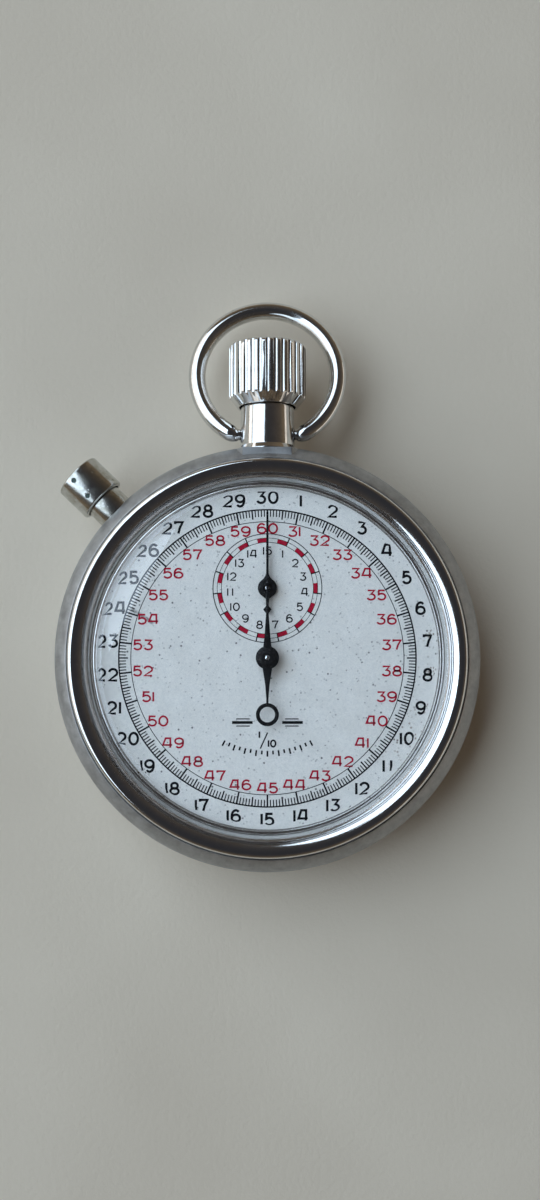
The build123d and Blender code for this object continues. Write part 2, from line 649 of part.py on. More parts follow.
def stud_at():
    """Where the hairspring's stud stands on the cock."""
    turn = degrees(between(BALANCE_AT, COCK_FOOT)[1])
    return polar(3.3, turn, BALANCE_AT)


def bridge_screws():
    """One slotted screw for each pillar."""
    places = [(BARREL_BRIDGE_Z[0], at) for at in BARREL_PILLARS]
    places += [(TRAIN_BRIDGE_Z[0], at) for at in TRAIN_PILLARS]
    places += [(PALLET_BRIDGE_Z[0], at) for at in pallet_pillars()]
    places += [(COCK_Z[0], COCK_FOOT)]
    return [screw(at, z, SCREW_HEAD, 2.0) for z, at in places]


def case_screws():
    """Screws whose heads catch under the band's ledge and hold the movement in."""
    places = [polar(CASE_SCREW_RING_R, turn) for turn in CASE_SCREW_ANGLES]
    return [screw(at, 8.85, 0.4, 0.65, head_r=0.95) for at in places]


def jewel_bearings():
    """A pressed bearing at each end of each fast arbor."""
    plate_low = PLATE_Z[0] + 0.1
    jewels = []
    places = [(plate_low, at) for at in (SECOND_AT, THIRD_AT, ESCAPE_AT, PALLET_AT, BALANCE_AT)]
    bridge_low = TRAIN_BRIDGE_Z[0] + 0.2
    places += [(bridge_low, at) for at in (SECOND_AT, THIRD_AT, SWEEP_AT, ESCAPE_AT)]
    places += [(COCK_Z[0] + 0.2, BALANCE_AT)]
    for low, at in places:
        levels = (low, low + JEWEL_THICK)
        jewels.append(ring(JEWEL_R, PIVOT_R + PIVOT_CLEAR, levels, at))
    jewels.append(ring(JEWEL_R, PIVOT_R + PIVOT_CLEAR, PALLET_BRIDGE_Z, PALLET_AT))
    wide = (plate_low, plate_low + JEWEL_THICK)
    jewels.append(ring(JEWEL_R, SWEEP_ARBOR_R + PIVOT_CLEAR, wide, SWEEP_AT))
    return jewels


# ---- winding ----
def crown():
    """The fluted crown, hollow below so that it slides down over the neck."""
    foot, full, rim, top = CROWN_START_Y, CROWN_FULL_Y, CROWN_RIM_Y, CROWN_TOP_Y
    body = turned_on_stem([
        (0, CROWN_BORE_END_Y), (CROWN_BORE_R, CROWN_BORE_END_Y), (CROWN_BORE_R, foot),
        (CROWN_FOOT_R, foot), (CROWN_R - 0.1, full - 0.1), (CROWN_R, full + 0.15),
        (CROWN_R, rim), (CROWN_R - 0.35, rim + 0.4), (2.6, top - 0.12), (0, top)])
    for number in range(CROWN_FLUTES):
        x, z = polar(CROWN_R + 0.12, 360 * number / CROWN_FLUTES, (0, STEM_Z))
        body -= rod(FLUTE_R, (full + 0.1, rim + 0.6), x=x, z=z)
    return body - rod(STEM_R, (foot, STEM_OUTER_Y))


def winding_stem():
    """The stem: a square for the pinion, a round shaft, and two shoulders round the collar."""
    half = STEM_SQUARE / 2
    stem = block((-half, half), (STEM_INNER_Y, STEM_SQUARE_END_Y), (STEM_Z - half, STEM_Z + half))
    stem += rod(STEM_R, (STEM_SQUARE_END_Y, STEM_OUTER_Y))
    below = (COLLAR_Y - 0.4, COLLAR_Y - SPRING_GAP)
    above = (COLLAR_Y + COLLAR_LENGTH + SPRING_GAP, COLLAR_Y + COLLAR_LENGTH + 0.4)
    return stem + rod(SHOULDER_STEM_R, below) + rod(SHOULDER_STEM_R, above)


def press_collar():
    """The loose collar that moves in and out with the stem but doesn't turn."""
    ends = (COLLAR_Y, COLLAR_Y + COLLAR_LENGTH)
    return rod(COLLAR_R, ends) - rod(STEM_R + 0.08, (ends[0] - 1, ends[1] + 1))


def crown_spring():
    ends = (NECK_FLOOR_Y + SPRING_GAP, COLLAR_Y - SPRING_GAP)
    return coil_on_stem(CROWN_SPRING_R, CROWN_SPRING_WIRE_R, ends, 3)


def pinion_centre_y():
    """The winding pinion sits over the crown wheel's ring of face teeth."""
    share = CROWN_WHEEL_TEETH / WINDING_PINION_TEETH
    return CROWN_WHEEL_AT[1] + WINDING_PINION_R * share


def winding_pinion():
    """The pinion that slides on the stem's square."""
    module = 2 * WINDING_PINION_R / WINDING_PINION_TEETH
    corners = tooth_outline(WINDING_PINION_TEETH, module, 0.68, -pi / 2, 3)
    length, side = 1.4, STEM_SQUARE + 0.1
    body = prism(corners, (-length / 2, length / 2))
    body -= Box(side, side, 2 * length)
    return Pos(0, pinion_centre_y(), STEM_Z) * Rot(90, 0, 0) * body


def crown_wheel():
    """A wheel with teeth on its edge for the ratchet wheel and on its face for the pinion."""
    low, high = WINDING_Z
    wheel = prism(
        tooth_outline(CROWN_WHEEL_TEETH, WINDING_MODULE, 0.75, CROWN_WHEEL_PHASE, 3), WINDING_Z)
    wheel -= Pos(0, 0, low - 1) * extrude(RegularPolygon(1.21, 16, major_radius=False), 3)
    ring_r = WINDING_PINION_R * CROWN_WHEEL_TEETH / WINDING_PINION_TEETH
    pitch = 2 * pi * ring_r / CROWN_WHEEL_TEETH
    root, tip, top = 0.22 * pitch, 0.1 * pitch, STEM_Z - WINDING_PINION_R + 0.14
    tooth = [(-root, high - 0.05), (root, high - 0.05), (root, high), (tip, top), (-tip, top), (-root, high)]
    shape = make_face(Polyline(*[(x, 0, z) for x, z in tooth], close=True))
    solid = Pos(0, ring_r + 0.35, 0) * extrude(shape, 0.7, dir=(0, -1, 0))
    for number in range(CROWN_WHEEL_TEETH):
        turn = 360 * (number + 0.5) / CROWN_WHEEL_TEETH
        wheel += Rot(0, 0, turn) * solid
    return Pos(CROWN_WHEEL_AT[0], CROWN_WHEEL_AT[1], 0) * wheel


def crown_wheel_screw():
    """A shouldered screw: the crown wheel turns on its post."""
    head_z = WINDING_Z[0] - 0.06
    post = disc(1.15, (head_z, BARREL_BRIDGE_Z[0]), CROWN_WHEEL_AT)
    return post + screw(CROWN_WHEEL_AT, head_z, 0.4, 1.5, head_r=1.9, shaft_r=0.6)


def ratchet_wheel():
    """The wheel on the barrel arbor's square."""
    wheel = prism(
        tooth_outline(RATCHET_TEETH, WINDING_MODULE, 0.75, RATCHET_PHASE, 3), WINDING_Z)
    wheel -= Pos(0, 0, WINDING_Z[0]) * Box(1.62, 1.62, 4)
    return Pos(BARREL_AT[0], BARREL_AT[1], 0) * wheel


def ratchet_screw():
    return screw(BARREL_AT, WINDING_Z[0], 0.35, 1.0, head_r=1.5, shaft_r=0.4)


def click_pivot():
    return polar(10.1, 62, BARREL_AT)


def click():
    """The pawl: its beak stands just clear of the ratchet wheel's teeth."""
    at = click_pivot()
    beak = [polar(0.8, 170, at), polar(8.42, 58.5, BARREL_AT), polar(8.42, 56, BARREL_AT),
            polar(0.8, -10, at)]
    body = disc(0.9, WINDING_Z, at) + prism(beak, WINDING_Z)
    return body + disc(0.35, (WINDING_Z[1], BARREL_BRIDGE_Z[1]), at)


def click_spring():
    """A thin bent strip that presses the click, on a round foot."""
    levels = (4.85, 5.15)
    strip = [polar(radius, turn, BARREL_AT) for radius, turn in (
        (9.0, 68.4), (9.0, 80), (9.0, 92), (9.2, 92), (9.2, 80), (9.2, 68.4))]
    foot = disc(0.6, (levels[0], BARREL_BRIDGE_Z[0]), polar(9.4, 94, BARREL_AT))
    return prism(strip, levels) + foot


# ---- barrel ----
def barrel_drum():
    """The toothed drum round the mainspring."""
    inner = 8.1
    drum = prism(
        tooth_outline(BARREL_TEETH, BARREL_MODULE, WHEEL_ADDENDUM, BARREL_PHASE, 2),
        BARREL_TEETH_Z)
    drum = Pos(BARREL_AT[0], BARREL_AT[1], 0) * drum
    drum += ring(8.6, inner, (COVER_Z[0], BARREL_TEETH_Z[0]), BARREL_AT)
    return drum - disc(0.88, (COVER_Z[0], 9), BARREL_AT)


def barrel_cover():
    return ring(8.1, 1.28, COVER_Z, BARREL_AT)


def barrel_arbor():
    """The arbor: the ratchet wheel's square, its bearing, the spring's core and a pivot."""
    side = 1.6
    x, y = BARREL_AT
    square = block(
        (x - side / 2, x + side / 2), (y - side / 2, y + side / 2), (WINDING_Z[0], 5.36))
    body = square + disc(1.2, (5.36, COVER_Z[1] + 0.1), BARREL_AT)
    body += disc(1.5, (COVER_Z[1] + 0.1, DRUM_Z[1] - 0.1), BARREL_AT)
    body += disc(0.8, (DRUM_Z[1] - 0.1, 9.4), BARREL_AT)
    return body - disc(0.4, (4, WINDING_Z[0] + 1.0), BARREL_AT)


def mainspring():
    levels = (COVER_Z[1] + 0.1, DRUM_Z[1] - 0.1)
    return ribbon_spiral(1.9, 8.0, 7, 0.2, levels, BARREL_AT)


# ---- train ----
LOW_PIVOT_Z = TRAIN_BRIDGE_Z[0] + 0.25
HIGH_PIVOT_Z = PLATE_Z[0] + 0.45
STAFF_Z = (TRAIN_BRIDGE_Z[1] + 0.1, PLATE_Z[0] - 0.1)


def second_wheel():
    return spoked(
        SECOND_TEETH, SECOND_MODULE, SECOND_PHASE, (8.25, 8.43), ARBOR_R, SECOND_AT)


def second_pinion():
    teeth = pinion(
        SECOND_PINION_TEETH, BARREL_MODULE, SECOND_PINION_PHASE, (7.45, 8.15), SECOND_AT)
    return teeth + arbor(SECOND_AT, STAFF_Z, (LOW_PIVOT_Z, HIGH_PIVOT_Z))


def third_wheel():
    return spoked(THIRD_TEETH, THIRD_MODULE, THIRD_PHASE, (5.8, 6.0), ARBOR_R, THIRD_AT)


def third_pinion():
    teeth = pinion(
        THIRD_PINION_TEETH, SECOND_MODULE, THIRD_PINION_PHASE, (8.17, 8.52), THIRD_AT)
    return teeth + arbor(THIRD_AT, STAFF_Z, (LOW_PIVOT_Z, HIGH_PIVOT_Z))


def sweep_wheel():
    return spoked(
        SWEEP_TEETH, SWEEP_MODULE, SWEEP_PHASE, (8.6, 8.74), SWEEP_ARBOR_R, SWEEP_AT)


def sweep_arbor():
    """The centre arbor: it carries its wheel, the heart, the driver pinion and the hand."""
    body = disc(SWEEP_ARBOR_R, (STAFF_Z[0], 12.92))
    body += disc(PIVOT_R, (LOW_PIVOT_Z, STAFF_Z[0]))
    body += pinion(
        SWEEP_PINION_TEETH, THIRD_MODULE, SWEEP_PINION_PHASE, (5.6, 6.2), SWEEP_AT)
    return body + pinion(
        DRIVER_TEETH, UNDER_DIAL_MODULE, DRIVER_PHASE, (10.62, 10.92), SWEEP_AT)


def heart(bore, at):
    """A heart cam: it has one low place, so a press always turns it to zero."""
    low_r, high_r, steps = 0.85, 1.7, 12
    corners = []
    for step in range(-steps, steps):
        radius = low_r + (high_r - low_r) * abs(step) / steps
        corners.append(polar(radius, 90 + 180 * step / steps))
    cam = prism(corners, HAMMER_Z)
    hole = RegularPolygon(bore, 16, major_radius=False)
    cam -= Pos(0, 0, HAMMER_Z[0] - 1) * extrude(hole, 3)
    return Pos(at[0], at[1], 0) * cam


def intermediate_wheel():
    """The wheel and pinion that slow the sweep down for the minute register."""
    low, high = INTERMEDIATE_Z
    corners = tooth_outline(
        INTERMEDIATE_TEETH, UNDER_DIAL_MODULE, WHEEL_ADDENDUM, INTERMEDIATE_PHASE, 2)
    wheel = prism(corners, INTERMEDIATE_Z)
    small = tooth_outline(
        INTERMEDIATE_PINION_TEETH, UNDER_DIAL_MODULE, PINION_ADDENDUM,
        INTERMEDIATE_PINION_PHASE, 4)
    wheel += prism(small, (MINUTE_WHEEL_Z[0] - 0.05, low))
    hole = RegularPolygon(0.3, 16, major_radius=False)
    wheel -= Pos(0, 0, low - 2) * extrude(hole, 4)
    return Pos(INTERMEDIATE_AT[0], INTERMEDIATE_AT[1], 0) * wheel


def minute_wheel():
    """The register's wheel on its own arbor."""
    wheel = spoked(
        MINUTE_TEETH, UNDER_DIAL_MODULE, MINUTE_PHASE, MINUTE_WHEEL_Z,
        MINUTE_ARBOR_R - 0.02, MINUTE_AT)
    return wheel + disc(MINUTE_ARBOR_R, (PLATE_Z[0] + 0.15, 12.15), MINUTE_AT)


# ---- escapement ----
def escape_wheel():
    """Fifteen pointed teeth."""
    corners = []
    pitch = 360 / ESCAPE_TEETH
    for number in range(ESCAPE_TEETH):
        start = number * pitch
        corners += [polar(2.45, start), polar(ESCAPE_R, start + 1.5), polar(ESCAPE_R, start + 3.5),
                    polar(2.5, start + 11)]
    wheel = prism(corners, ESCAPE_Z)
    for number in range(5):
        wheel -= prism(window(1.0, 2.05, 72 * number + 12, 72 * number + 60), (6, 8))
    hole = RegularPolygon(ARBOR_R, 16, major_radius=False)
    wheel -= Pos(0, 0, 6) * extrude(hole, 2)
    return Pos(ESCAPE_AT[0], ESCAPE_AT[1], 0) * wheel


def escape_pinion():
    teeth = pinion(
        ESCAPE_PINION_TEETH, SWEEP_MODULE, ESCAPE_PINION_PHASE, (8.53, 8.79), ESCAPE_AT)
    return teeth + arbor(ESCAPE_AT, STAFF_Z, (LOW_PIVOT_Z, HIGH_PIVOT_Z))


def pallet_lever():
    """The lever, along +X from its arbor before it is turned: arms, pallets and fork."""
    spine = [(-0.5, -0.35), (0.5, -0.35), (2.4, -0.2), (3.1, -0.45), (3.22, -0.3), (2.75, 0),
             (3.22, 0.3), (3.1, 0.45), (2.4, 0.2), (0.5, 0.35), (-0.5, 0.35)]
    arms = [(-0.35, -2.1), (0.3, -2.1), (0.5, 0), (0.3, 2.1), (-0.35, 2.1), (-0.2, 0)]
    body = prism(spine, ESCAPE_Z) + prism(arms, ESCAPE_Z)
    hole = RegularPolygon(0.2, 12, major_radius=False)
    body -= Pos(0, 0, 6) * extrude(hole, 2)
    return Pos(PALLET_AT[0], PALLET_AT[1], 0) * Rot(0, 0, ESCAPE_LINE) * body


def pallet_arbor():
    levels = (PALLET_BRIDGE_Z[1] + 0.1, STAFF_Z[1])
    return arbor(PALLET_AT, levels, (PALLET_BRIDGE_Z[0] + 0.05, HIGH_PIVOT_Z), 0.2)


def balance_wheel():
    """The balance: a heavy rim on two arms."""
    wheel = ring(5.2, 4.6, BALANCE_Z, BALANCE_AT) + disc(0.9, BALANCE_Z, BALANCE_AT)
    start, end = [polar(4.8, ESCAPE_LINE + turn, BALANCE_AT) for turn in (90, 270)]
    wheel += bar(start, end, 0.6, BALANCE_Z)
    return wheel - disc(0.5, (5, 6), BALANCE_AT)


def balance_staff():
    body = disc(0.5, (BALANCE_Z[0] - 0.2, STAFF_Z[1]), BALANCE_AT)
    body += disc(0.3, (COCK_Z[1] + 0.07, BALANCE_Z[0] - 0.2), BALANCE_AT)
    body += disc(PIVOT_R, (COCK_Z[0] + 0.3, COCK_Z[1] + 0.07), BALANCE_AT)
    return body + disc(PIVOT_R, (STAFF_Z[1], HIGH_PIVOT_Z), BALANCE_AT)


def balance_roller():
    """The roller, with the impulse pin that stands towards the pallet fork."""
    roller = ring(0.95, 0.5, (7.25, 7.5), BALANCE_AT)
    return roller + disc(0.12, (6.85, 7.25), polar(0.75, ESCAPE_LINE + 180, BALANCE_AT))


def hairspring():
    """The spiral spring on its collet; its outer end stands just clear of the stud."""
    collet = ring(0.7, 0.3, HAIRSPRING_Z, BALANCE_AT)
    return collet + ribbon_spiral(0.6, 2.9, 6, 0.09, HAIRSPRING_Z, BALANCE_AT)


def hairspring_stud():
    return disc(0.25, (COCK_Z[0] - 0.05, HAIRSPRING_Z[1] + 0.1), stud_at())


def regulator():
    """The index on the cock: a ring round the bearing and a pointer."""
    levels = (COCK_Z[0] - 0.3, COCK_Z[0])
    body = disc(1.5, levels, BALANCE_AT)
    pointer_end = polar(3.6, ESCAPE_LINE - 100, BALANCE_AT)
    body += bar(BALANCE_AT, pointer_end, 0.5, levels)
    return body - disc(0.9, (levels[0] - 1, levels[1] + 1), BALANCE_AT)


# ---- start, stop and reset ----
def brake_lever():
    """The crown's lever: the stem pushes one end, and the other frees the balance's rim."""
    pad, tip = (0.2, 13.35), (-14.0, 8.35)
    body = bar(BRAKE_AT, pad, 0.8, BRAKE_Z) + bar(BRAKE_AT, tip, 0.8, BRAKE_Z)
    body += disc(1.2, BRAKE_Z, BRAKE_AT) + disc(0.35, (BALANCE_Z[0], BRAKE_Z[1]), tip)
    return body - disc(0.56, (6, 8), BRAKE_AT)


def reset_hammer():
    """The double hammer: one face for each heart cam, and a tab at the pusher's stem."""
    tab_y = 19.0
    tab_at = polar(tab_y, 90 + PUSHER_ANGLE)
    elbow, minute_face, sweep_face = (-10.5, 12.0), (0.0, 13.3), (0.0, 4.9)
    body = bar(HAMMER_AT, sweep_face, 0.9, HAMMER_Z) + bar(HAMMER_AT, elbow, 1.2, HAMMER_Z)
    body += bar(elbow, minute_face, 0.9, HAMMER_Z) + bar(HAMMER_AT, tab_at, 1.2, HAMMER_Z)
    body += disc(1.4, HAMMER_Z, HAMMER_AT)
    body += to_pusher(block((-0.8, 0.8), (tab_y - 0.4, tab_y + 0.4), (6.6, HAMMER_Z[1])))
    return body - disc(0.56, (9, 11), HAMMER_AT)


def pusher_cap():
    """The plain cap, hollow below so that it slides over its tube."""
    bevel = 0.25
    cap = turned_on_stem([
        (0, CAP_BORE_END_Y), (CAP_BORE_R, CAP_BORE_END_Y), (CAP_BORE_R, CAP_START_Y),
        (CAP_R - bevel, CAP_START_Y), (CAP_R, CAP_START_Y + bevel), (CAP_R, CAP_END_Y - bevel),
        (CAP_R - bevel, CAP_END_Y), (0, CAP_END_Y)])
    return to_pusher(cap - rod(PUSHER_STEM_R, (CAP_START_Y, PUSHER_STEM_END_Y)))


def pusher_stem():
    stem = rod(PUSHER_STEM_R, (PUSHER_STEM_TIP_Y, PUSHER_STEM_END_Y))
    return to_pusher(stem + rod(1.42, (PUSHER_FLANGE_Y, PUSHER_FLANGE_Y + 0.4)))


def pusher_spring():
    ends = (PUSHER_FLOOR_Y + SPRING_GAP, PUSHER_FLANGE_Y - SPRING_GAP)
    return to_pusher(coil_on_stem(PUSHER_SPRING_R, PUSHER_SPRING_WIRE_R, ends, 5))


def bow():
    """The round loop of wire, with a pin at each end in the neck's holes."""
    ends = [
        (side * BOW_RING_R * sin(radians(BOW_END_ANGLE)),
         BOW_RING_CENTRE - BOW_RING_R * cos(radians(BOW_END_ANGLE))) for side in (-1, 1)]
    top = (0, BOW_RING_CENTRE + BOW_RING_R)
    path = ThreePointArc(ends[0], top, ends[1])
    section = Plane(origin=path @ 0, z_dir=path % 0) * Circle(BOW_WIRE_R)
    loop = sweep(section, path=path)
    for (x, y), side in zip(ends, (-1, 1)):
        loop += Pos(x, y, 0) * Sphere(BOW_WIRE_R)
        low, high = sorted((side * BOW_PIN_END_X, x))
        pin = Pos(low, 0, 0) * Rot(0, 90, 0) * Cylinder(
            BOW_PIN_R, high - low, align=(Align.CENTER, Align.CENTER, Align.MIN))
        loop += pin
    return Pos(0, BOW_PIVOT_Y, STEM_Z) * Rot(BOW_TILT, 0, 0) * loop


NODES = {
    "case_band": case_band,
    "case_back": case_back,
    "bezel": bezel,
    "crystal": crystal,
    "pendant_tube": pendant_tube,
    "pusher_tube": pusher_tube,
    "dial": dial,
    "dial_screws": dial_screws,
    "sweep_hand": sweep_hand,
    "minute_hand": minute_hand,
    "main_plate": main_plate,
    "barrel_bridge": barrel_bridge,
    "train_bridge": train_bridge,
    "pallet_bridge": pallet_bridge,
    "balance_cock": balance_cock,
    "bridge_screws": bridge_screws,
    "case_screws": case_screws,
    "jewel_bearings": jewel_bearings,
    "crown": crown,
    "winding_stem": winding_stem,
    "press_collar": press_collar,
    "crown_spring": crown_spring,
    "winding_pinion": winding_pinion,
    "crown_wheel": crown_wheel,
    "crown_wheel_screw": crown_wheel_screw,
    "ratchet_wheel": ratchet_wheel,
    "ratchet_screw": ratchet_screw,
    "click": click,
    "click_spring": click_spring,
    "barrel_drum": barrel_drum,
    "barrel_cover": barrel_cover,
    "barrel_arbor": barrel_arbor,
    "mainspring": mainspring,
    "second_wheel": second_wheel,
    "second_pinion": second_pinion,
    "third_wheel": third_wheel,
    "third_pinion": third_pinion,
    "sweep_wheel": sweep_wheel,
    "sweep_arbor": sweep_arbor,
    "sweep_heart": lambda: heart(SWEEP_ARBOR_R, SWEEP_AT),
    "minute_heart": lambda: heart(MINUTE_ARBOR_R, MINUTE_AT),
    "intermediate_wheel": intermediate_wheel,
    "minute_wheel": minute_wheel,
    "escape_wheel": escape_wheel,
    "escape_pinion": escape_pinion,
    "pallet_lever": pallet_lever,
    "pallet_arbor": pallet_arbor,
    "balance_wheel": balance_wheel,
    "balance_staff": balance_staff,
    "balance_roller": balance_roller,
    "hairspring": hairspring,
    "hairspring_stud": hairspring_stud,
    "regulator": regulator,
    "brake_lever": brake_lever,
    "reset_hammer": reset_hammer,
    "pusher_cap": pusher_cap,
    "pusher_stem": pusher_stem,
    "pusher_spring": pusher_spring,
    "bow": bow,
}


def main():
    os.makedirs("parts", exist_ok=True)
    for name, make in NODES.items():
        made = make()
        solids = made if isinstance(made, list) else [made]
        body = Compound(children=[solid for one in solids for solid in one.solids()])
        export_step(body, f"parts/{name}.step")


main()
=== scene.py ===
import json
import math

import bmesh
import bpy
from mathutils import Matrix, Vector


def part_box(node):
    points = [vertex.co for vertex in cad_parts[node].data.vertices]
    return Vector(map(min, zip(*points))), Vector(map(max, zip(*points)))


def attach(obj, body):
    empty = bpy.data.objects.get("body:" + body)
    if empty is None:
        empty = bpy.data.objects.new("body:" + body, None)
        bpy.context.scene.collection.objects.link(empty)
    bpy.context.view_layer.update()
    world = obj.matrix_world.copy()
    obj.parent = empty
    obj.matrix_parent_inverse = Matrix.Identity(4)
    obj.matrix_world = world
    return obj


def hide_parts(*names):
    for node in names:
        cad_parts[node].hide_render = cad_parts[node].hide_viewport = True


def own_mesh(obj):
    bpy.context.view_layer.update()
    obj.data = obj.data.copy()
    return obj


# The looks of a mechanical stopwatch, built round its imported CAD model. Outlines are in
# millimetres in the frame's axes: +Z out of the dial, +Y to the crown, +X to 3 o'clock.

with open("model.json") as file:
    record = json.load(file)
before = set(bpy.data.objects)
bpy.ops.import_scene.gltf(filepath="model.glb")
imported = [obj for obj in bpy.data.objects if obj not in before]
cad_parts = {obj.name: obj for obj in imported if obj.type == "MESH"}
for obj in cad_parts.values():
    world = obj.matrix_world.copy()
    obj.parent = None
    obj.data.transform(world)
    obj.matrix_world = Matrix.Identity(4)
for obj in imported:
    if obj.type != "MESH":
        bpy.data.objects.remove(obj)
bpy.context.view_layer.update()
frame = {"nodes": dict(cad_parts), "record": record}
MM = 0.001


def size_of(node):
    """A CAD node's lowest and highest corners, in millimetres."""
    low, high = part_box(node)
    return low / MM, high / MM


DIAL_Z = size_of("dial")[1].z
INK = 0.015              # how far the dial's print stands above it
PRINT_ROOT = 0.01        # how far the print reaches into the dial
STEM_Z = 7.2             # height of the crown's axis, and of the pusher's
BOW_PIVOT_Y = 27.6
MINUTE_AT = (0.0, 8.3)
PUSHER_ANGLE = 46.0      # from 12 o'clock towards 9
ON_STEM = Matrix.Translation((0, 0, STEM_Z)) @ Matrix.Rotation(math.radians(-90), 4, "X")
ON_PUSHER = Matrix.Rotation(math.radians(PUSHER_ANGLE), 4, "Z") @ ON_STEM
ROUND_STEPS = 288
CREASE = 32.0            # degrees between faces that still shade as one
HAND_CREASE = 40.0
TINY = 1e-6

# Radii where parts of the case meet, and heights above the back's flat face.
BAND_FOOT_Z, BACK_SEAT_Z, PLATE_SEAT_Z = 2.4, 3.6, 9.45
GROOVE_Z, DIAL_SEAT_Z, RIM_Z = 11.3, 11.2, 12.4
BEZEL_R, BEZEL_LIP_R, GLASS_FLANGE_R = 23.6, 21.35, 22.28
TUBE_SEAT_R, TUBE_END = 2.37, 27
DOME_EDGE, DOME_TOP_Z = (19.2, 15.35), 16.3


# ---- outlines ----
def circle_through(start, middle, end):
    """The centre of the circle through three points."""
    (ax, ay), (bx, by), (cx, cy) = start, middle, end
    spread = 2 * (ax * (by - cy) + bx * (cy - ay) + cx * (ay - by))
    a2, b2, c2 = ax * ax + ay * ay, bx * bx + by * by, cx * cx + cy * cy
    return (
        (a2 * (by - cy) + b2 * (cy - ay) + c2 * (ay - by)) / spread,
        (a2 * (cx - bx) + b2 * (ax - cx) + c2 * (bx - ax)) / spread)


def arc(start, middle, end, steps=10):
    """Points from start to end along the circle that passes through middle."""
    cx, cy = circle_through(start, middle, end)
    first, between, last = (math.atan2(y - cy, x - cx) for x, y in (start, middle, end))
    sweep = (last - first) % math.tau
    if (between - first) % math.tau > sweep:
        sweep -= math.tau
    radius = math.hypot(start[0] - cx, start[1] - cy)
    return [
        (cx + radius * math.cos(first + sweep * step / steps),
         cy + radius * math.sin(first + sweep * step / steps)) for step in range(steps + 1)]


def ellipse(centre, radii, first, last, steps=24):
    """Points on an ellipse between two directions, in degrees from +X."""
    turns = [math.radians(first + (last - first) * step / steps) for step in range(steps + 1)]
    return [
        (centre[0] + radii[0] * math.cos(turn), centre[1] + radii[1] * math.sin(turn))
        for turn in turns]


def polar(radius, turn, about=(0.0, 0.0)):
    """The point at a radius and a dial direction: degrees clockwise from 12 o'clock."""
    turn = math.radians(turn)
    return (about[0] + radius * math.sin(turn), about[1] + radius * math.cos(turn))


def softened(outline, radius):
    """A closed outline with its sharp corners rounded off."""
    steps, least_turn, most_of_side = 3, 25.0, 0.45
    made = []
    for number, corner in enumerate(outline):
        here = Vector(corner)
        back = Vector(outline[number - 1]) - here
        ahead = Vector(outline[(number + 1) % len(outline)]) - here
        if min(back.length, ahead.length) < TINY:
            made.append(corner)
            continue
        turn = math.pi - back.angle(ahead)
        if math.degrees(turn) < least_turn or here.x < TINY:
            made.append(corner)
            continue
        reach = min(radius * math.tan(turn / 2), most_of_side * back.length,
                    most_of_side * ahead.length)
        first, last = here + back.normalized() * reach, here + ahead.normalized() * reach
        for step in range(steps + 1):
            share = step / steps
            near, far = first.lerp(here, share), here.lerp(last, share)
            made.append(tuple(near.lerp(far, share)))
    return made


# ---- meshes ----
def closed_up(mesh):
    """Joins points that coincide, drops loose ones and turns the faces outward."""
    same_point, no_length = 1e-4 * MM, 1e-5 * MM
    work = bmesh.new()
    work.from_mesh(mesh)
    bmesh.ops.remove_doubles(work, verts=work.verts, dist=same_point)
    bmesh.ops.dissolve_degenerate(work, edges=work.edges, dist=no_length)
    bmesh.ops.delete(
        work, geom=[v for v in work.verts if not v.link_faces], context="VERTS")
    bmesh.ops.recalc_face_normals(work, faces=work.faces)
    work.to_mesh(mesh)
    work.free()


def shade(mesh, crease):
    """Smooth shading, but for edges that turn more than the crease, in degrees."""
    mesh.shade_smooth()
    mesh.set_sharp_from_angle(angle=math.radians(crease))


def new_object(name, vertices, faces, place=None, crease=CREASE):
    """An object from points in millimetres, closed and smooth but for its creases."""
    mesh = bpy.data.meshes.new(name)
    mesh.from_pydata([tuple(v) for v in vertices], [], faces)
    if place is not None:
        mesh.transform(place)
    mesh.transform(Matrix.Scale(MM, 4))
    closed_up(mesh)
    shade(mesh, crease)
    made = bpy.data.objects.new(name, mesh)
    bpy.context.scene.collection.objects.link(made)
    return made


def lathe(name, outline, place=None, steps=ROUND_STEPS):
    """A closed outline of (radius, height) corners, turned about its own Z."""
    count = len(outline)

    def index(step, corner):
        corner %= count
        if outline[corner][0] < TINY:
            return corner
        return (step % steps) * count + corner

    vertices, faces = [], []
    for step in range(steps):
        turn = math.tau * step / steps
        vertices += [(r * math.cos(turn), r * math.sin(turn), z) for r, z in outline]
        for corner in range(count):
            loop = [index(step, corner), index(step + 1, corner),
                    index(step + 1, corner + 1), index(step, corner + 1)]
            face = [v for number, v in enumerate(loop) if v not in loop[:number]]
            if len(face) > 2:
                faces.append(face)
    return new_object(name, vertices, faces, place)


def slab(name, outline, low, high, place):
    """A flat plate with a given outline."""
    count = len(outline)
    vertices = [(x, y, low) for x, y in outline] + [(x, y, high) for x, y in outline]
    faces = [list(range(count))[::-1], list(range(count, 2 * count))]
    faces += [
        [k, (k + 1) % count, count + (k + 1) % count, count + k] for k in range(count)]
    return new_object(name, vertices, faces, place)


def combined(target, tool, operation, crease=CREASE):
    """Cuts the tool from the target, or joins it on, and removes the tool."""
    change = target.modifiers.new("shape", "BOOLEAN")
    change.operation = operation
    change.object = tool
    change.solver = "EXACT"
    graph = bpy.context.evaluated_depsgraph_get()
    target.data = bpy.data.meshes.new_from_object(target.evaluated_get(graph))
    target.modifiers.clear()
    bpy.data.objects.remove(tool)
    closed_up(target.data)
    shade(target.data, crease)
    return target


def finished(target, body, slot, material, *nodes):
    """Gives a piece its material and body, and hides the CAD nodes that it stands for; its slot is
    not used.
    """
    target.data.materials.clear()
    target.data.materials.append(material)
    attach(target, body)
    if nodes:
        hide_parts(*nodes)
    return target


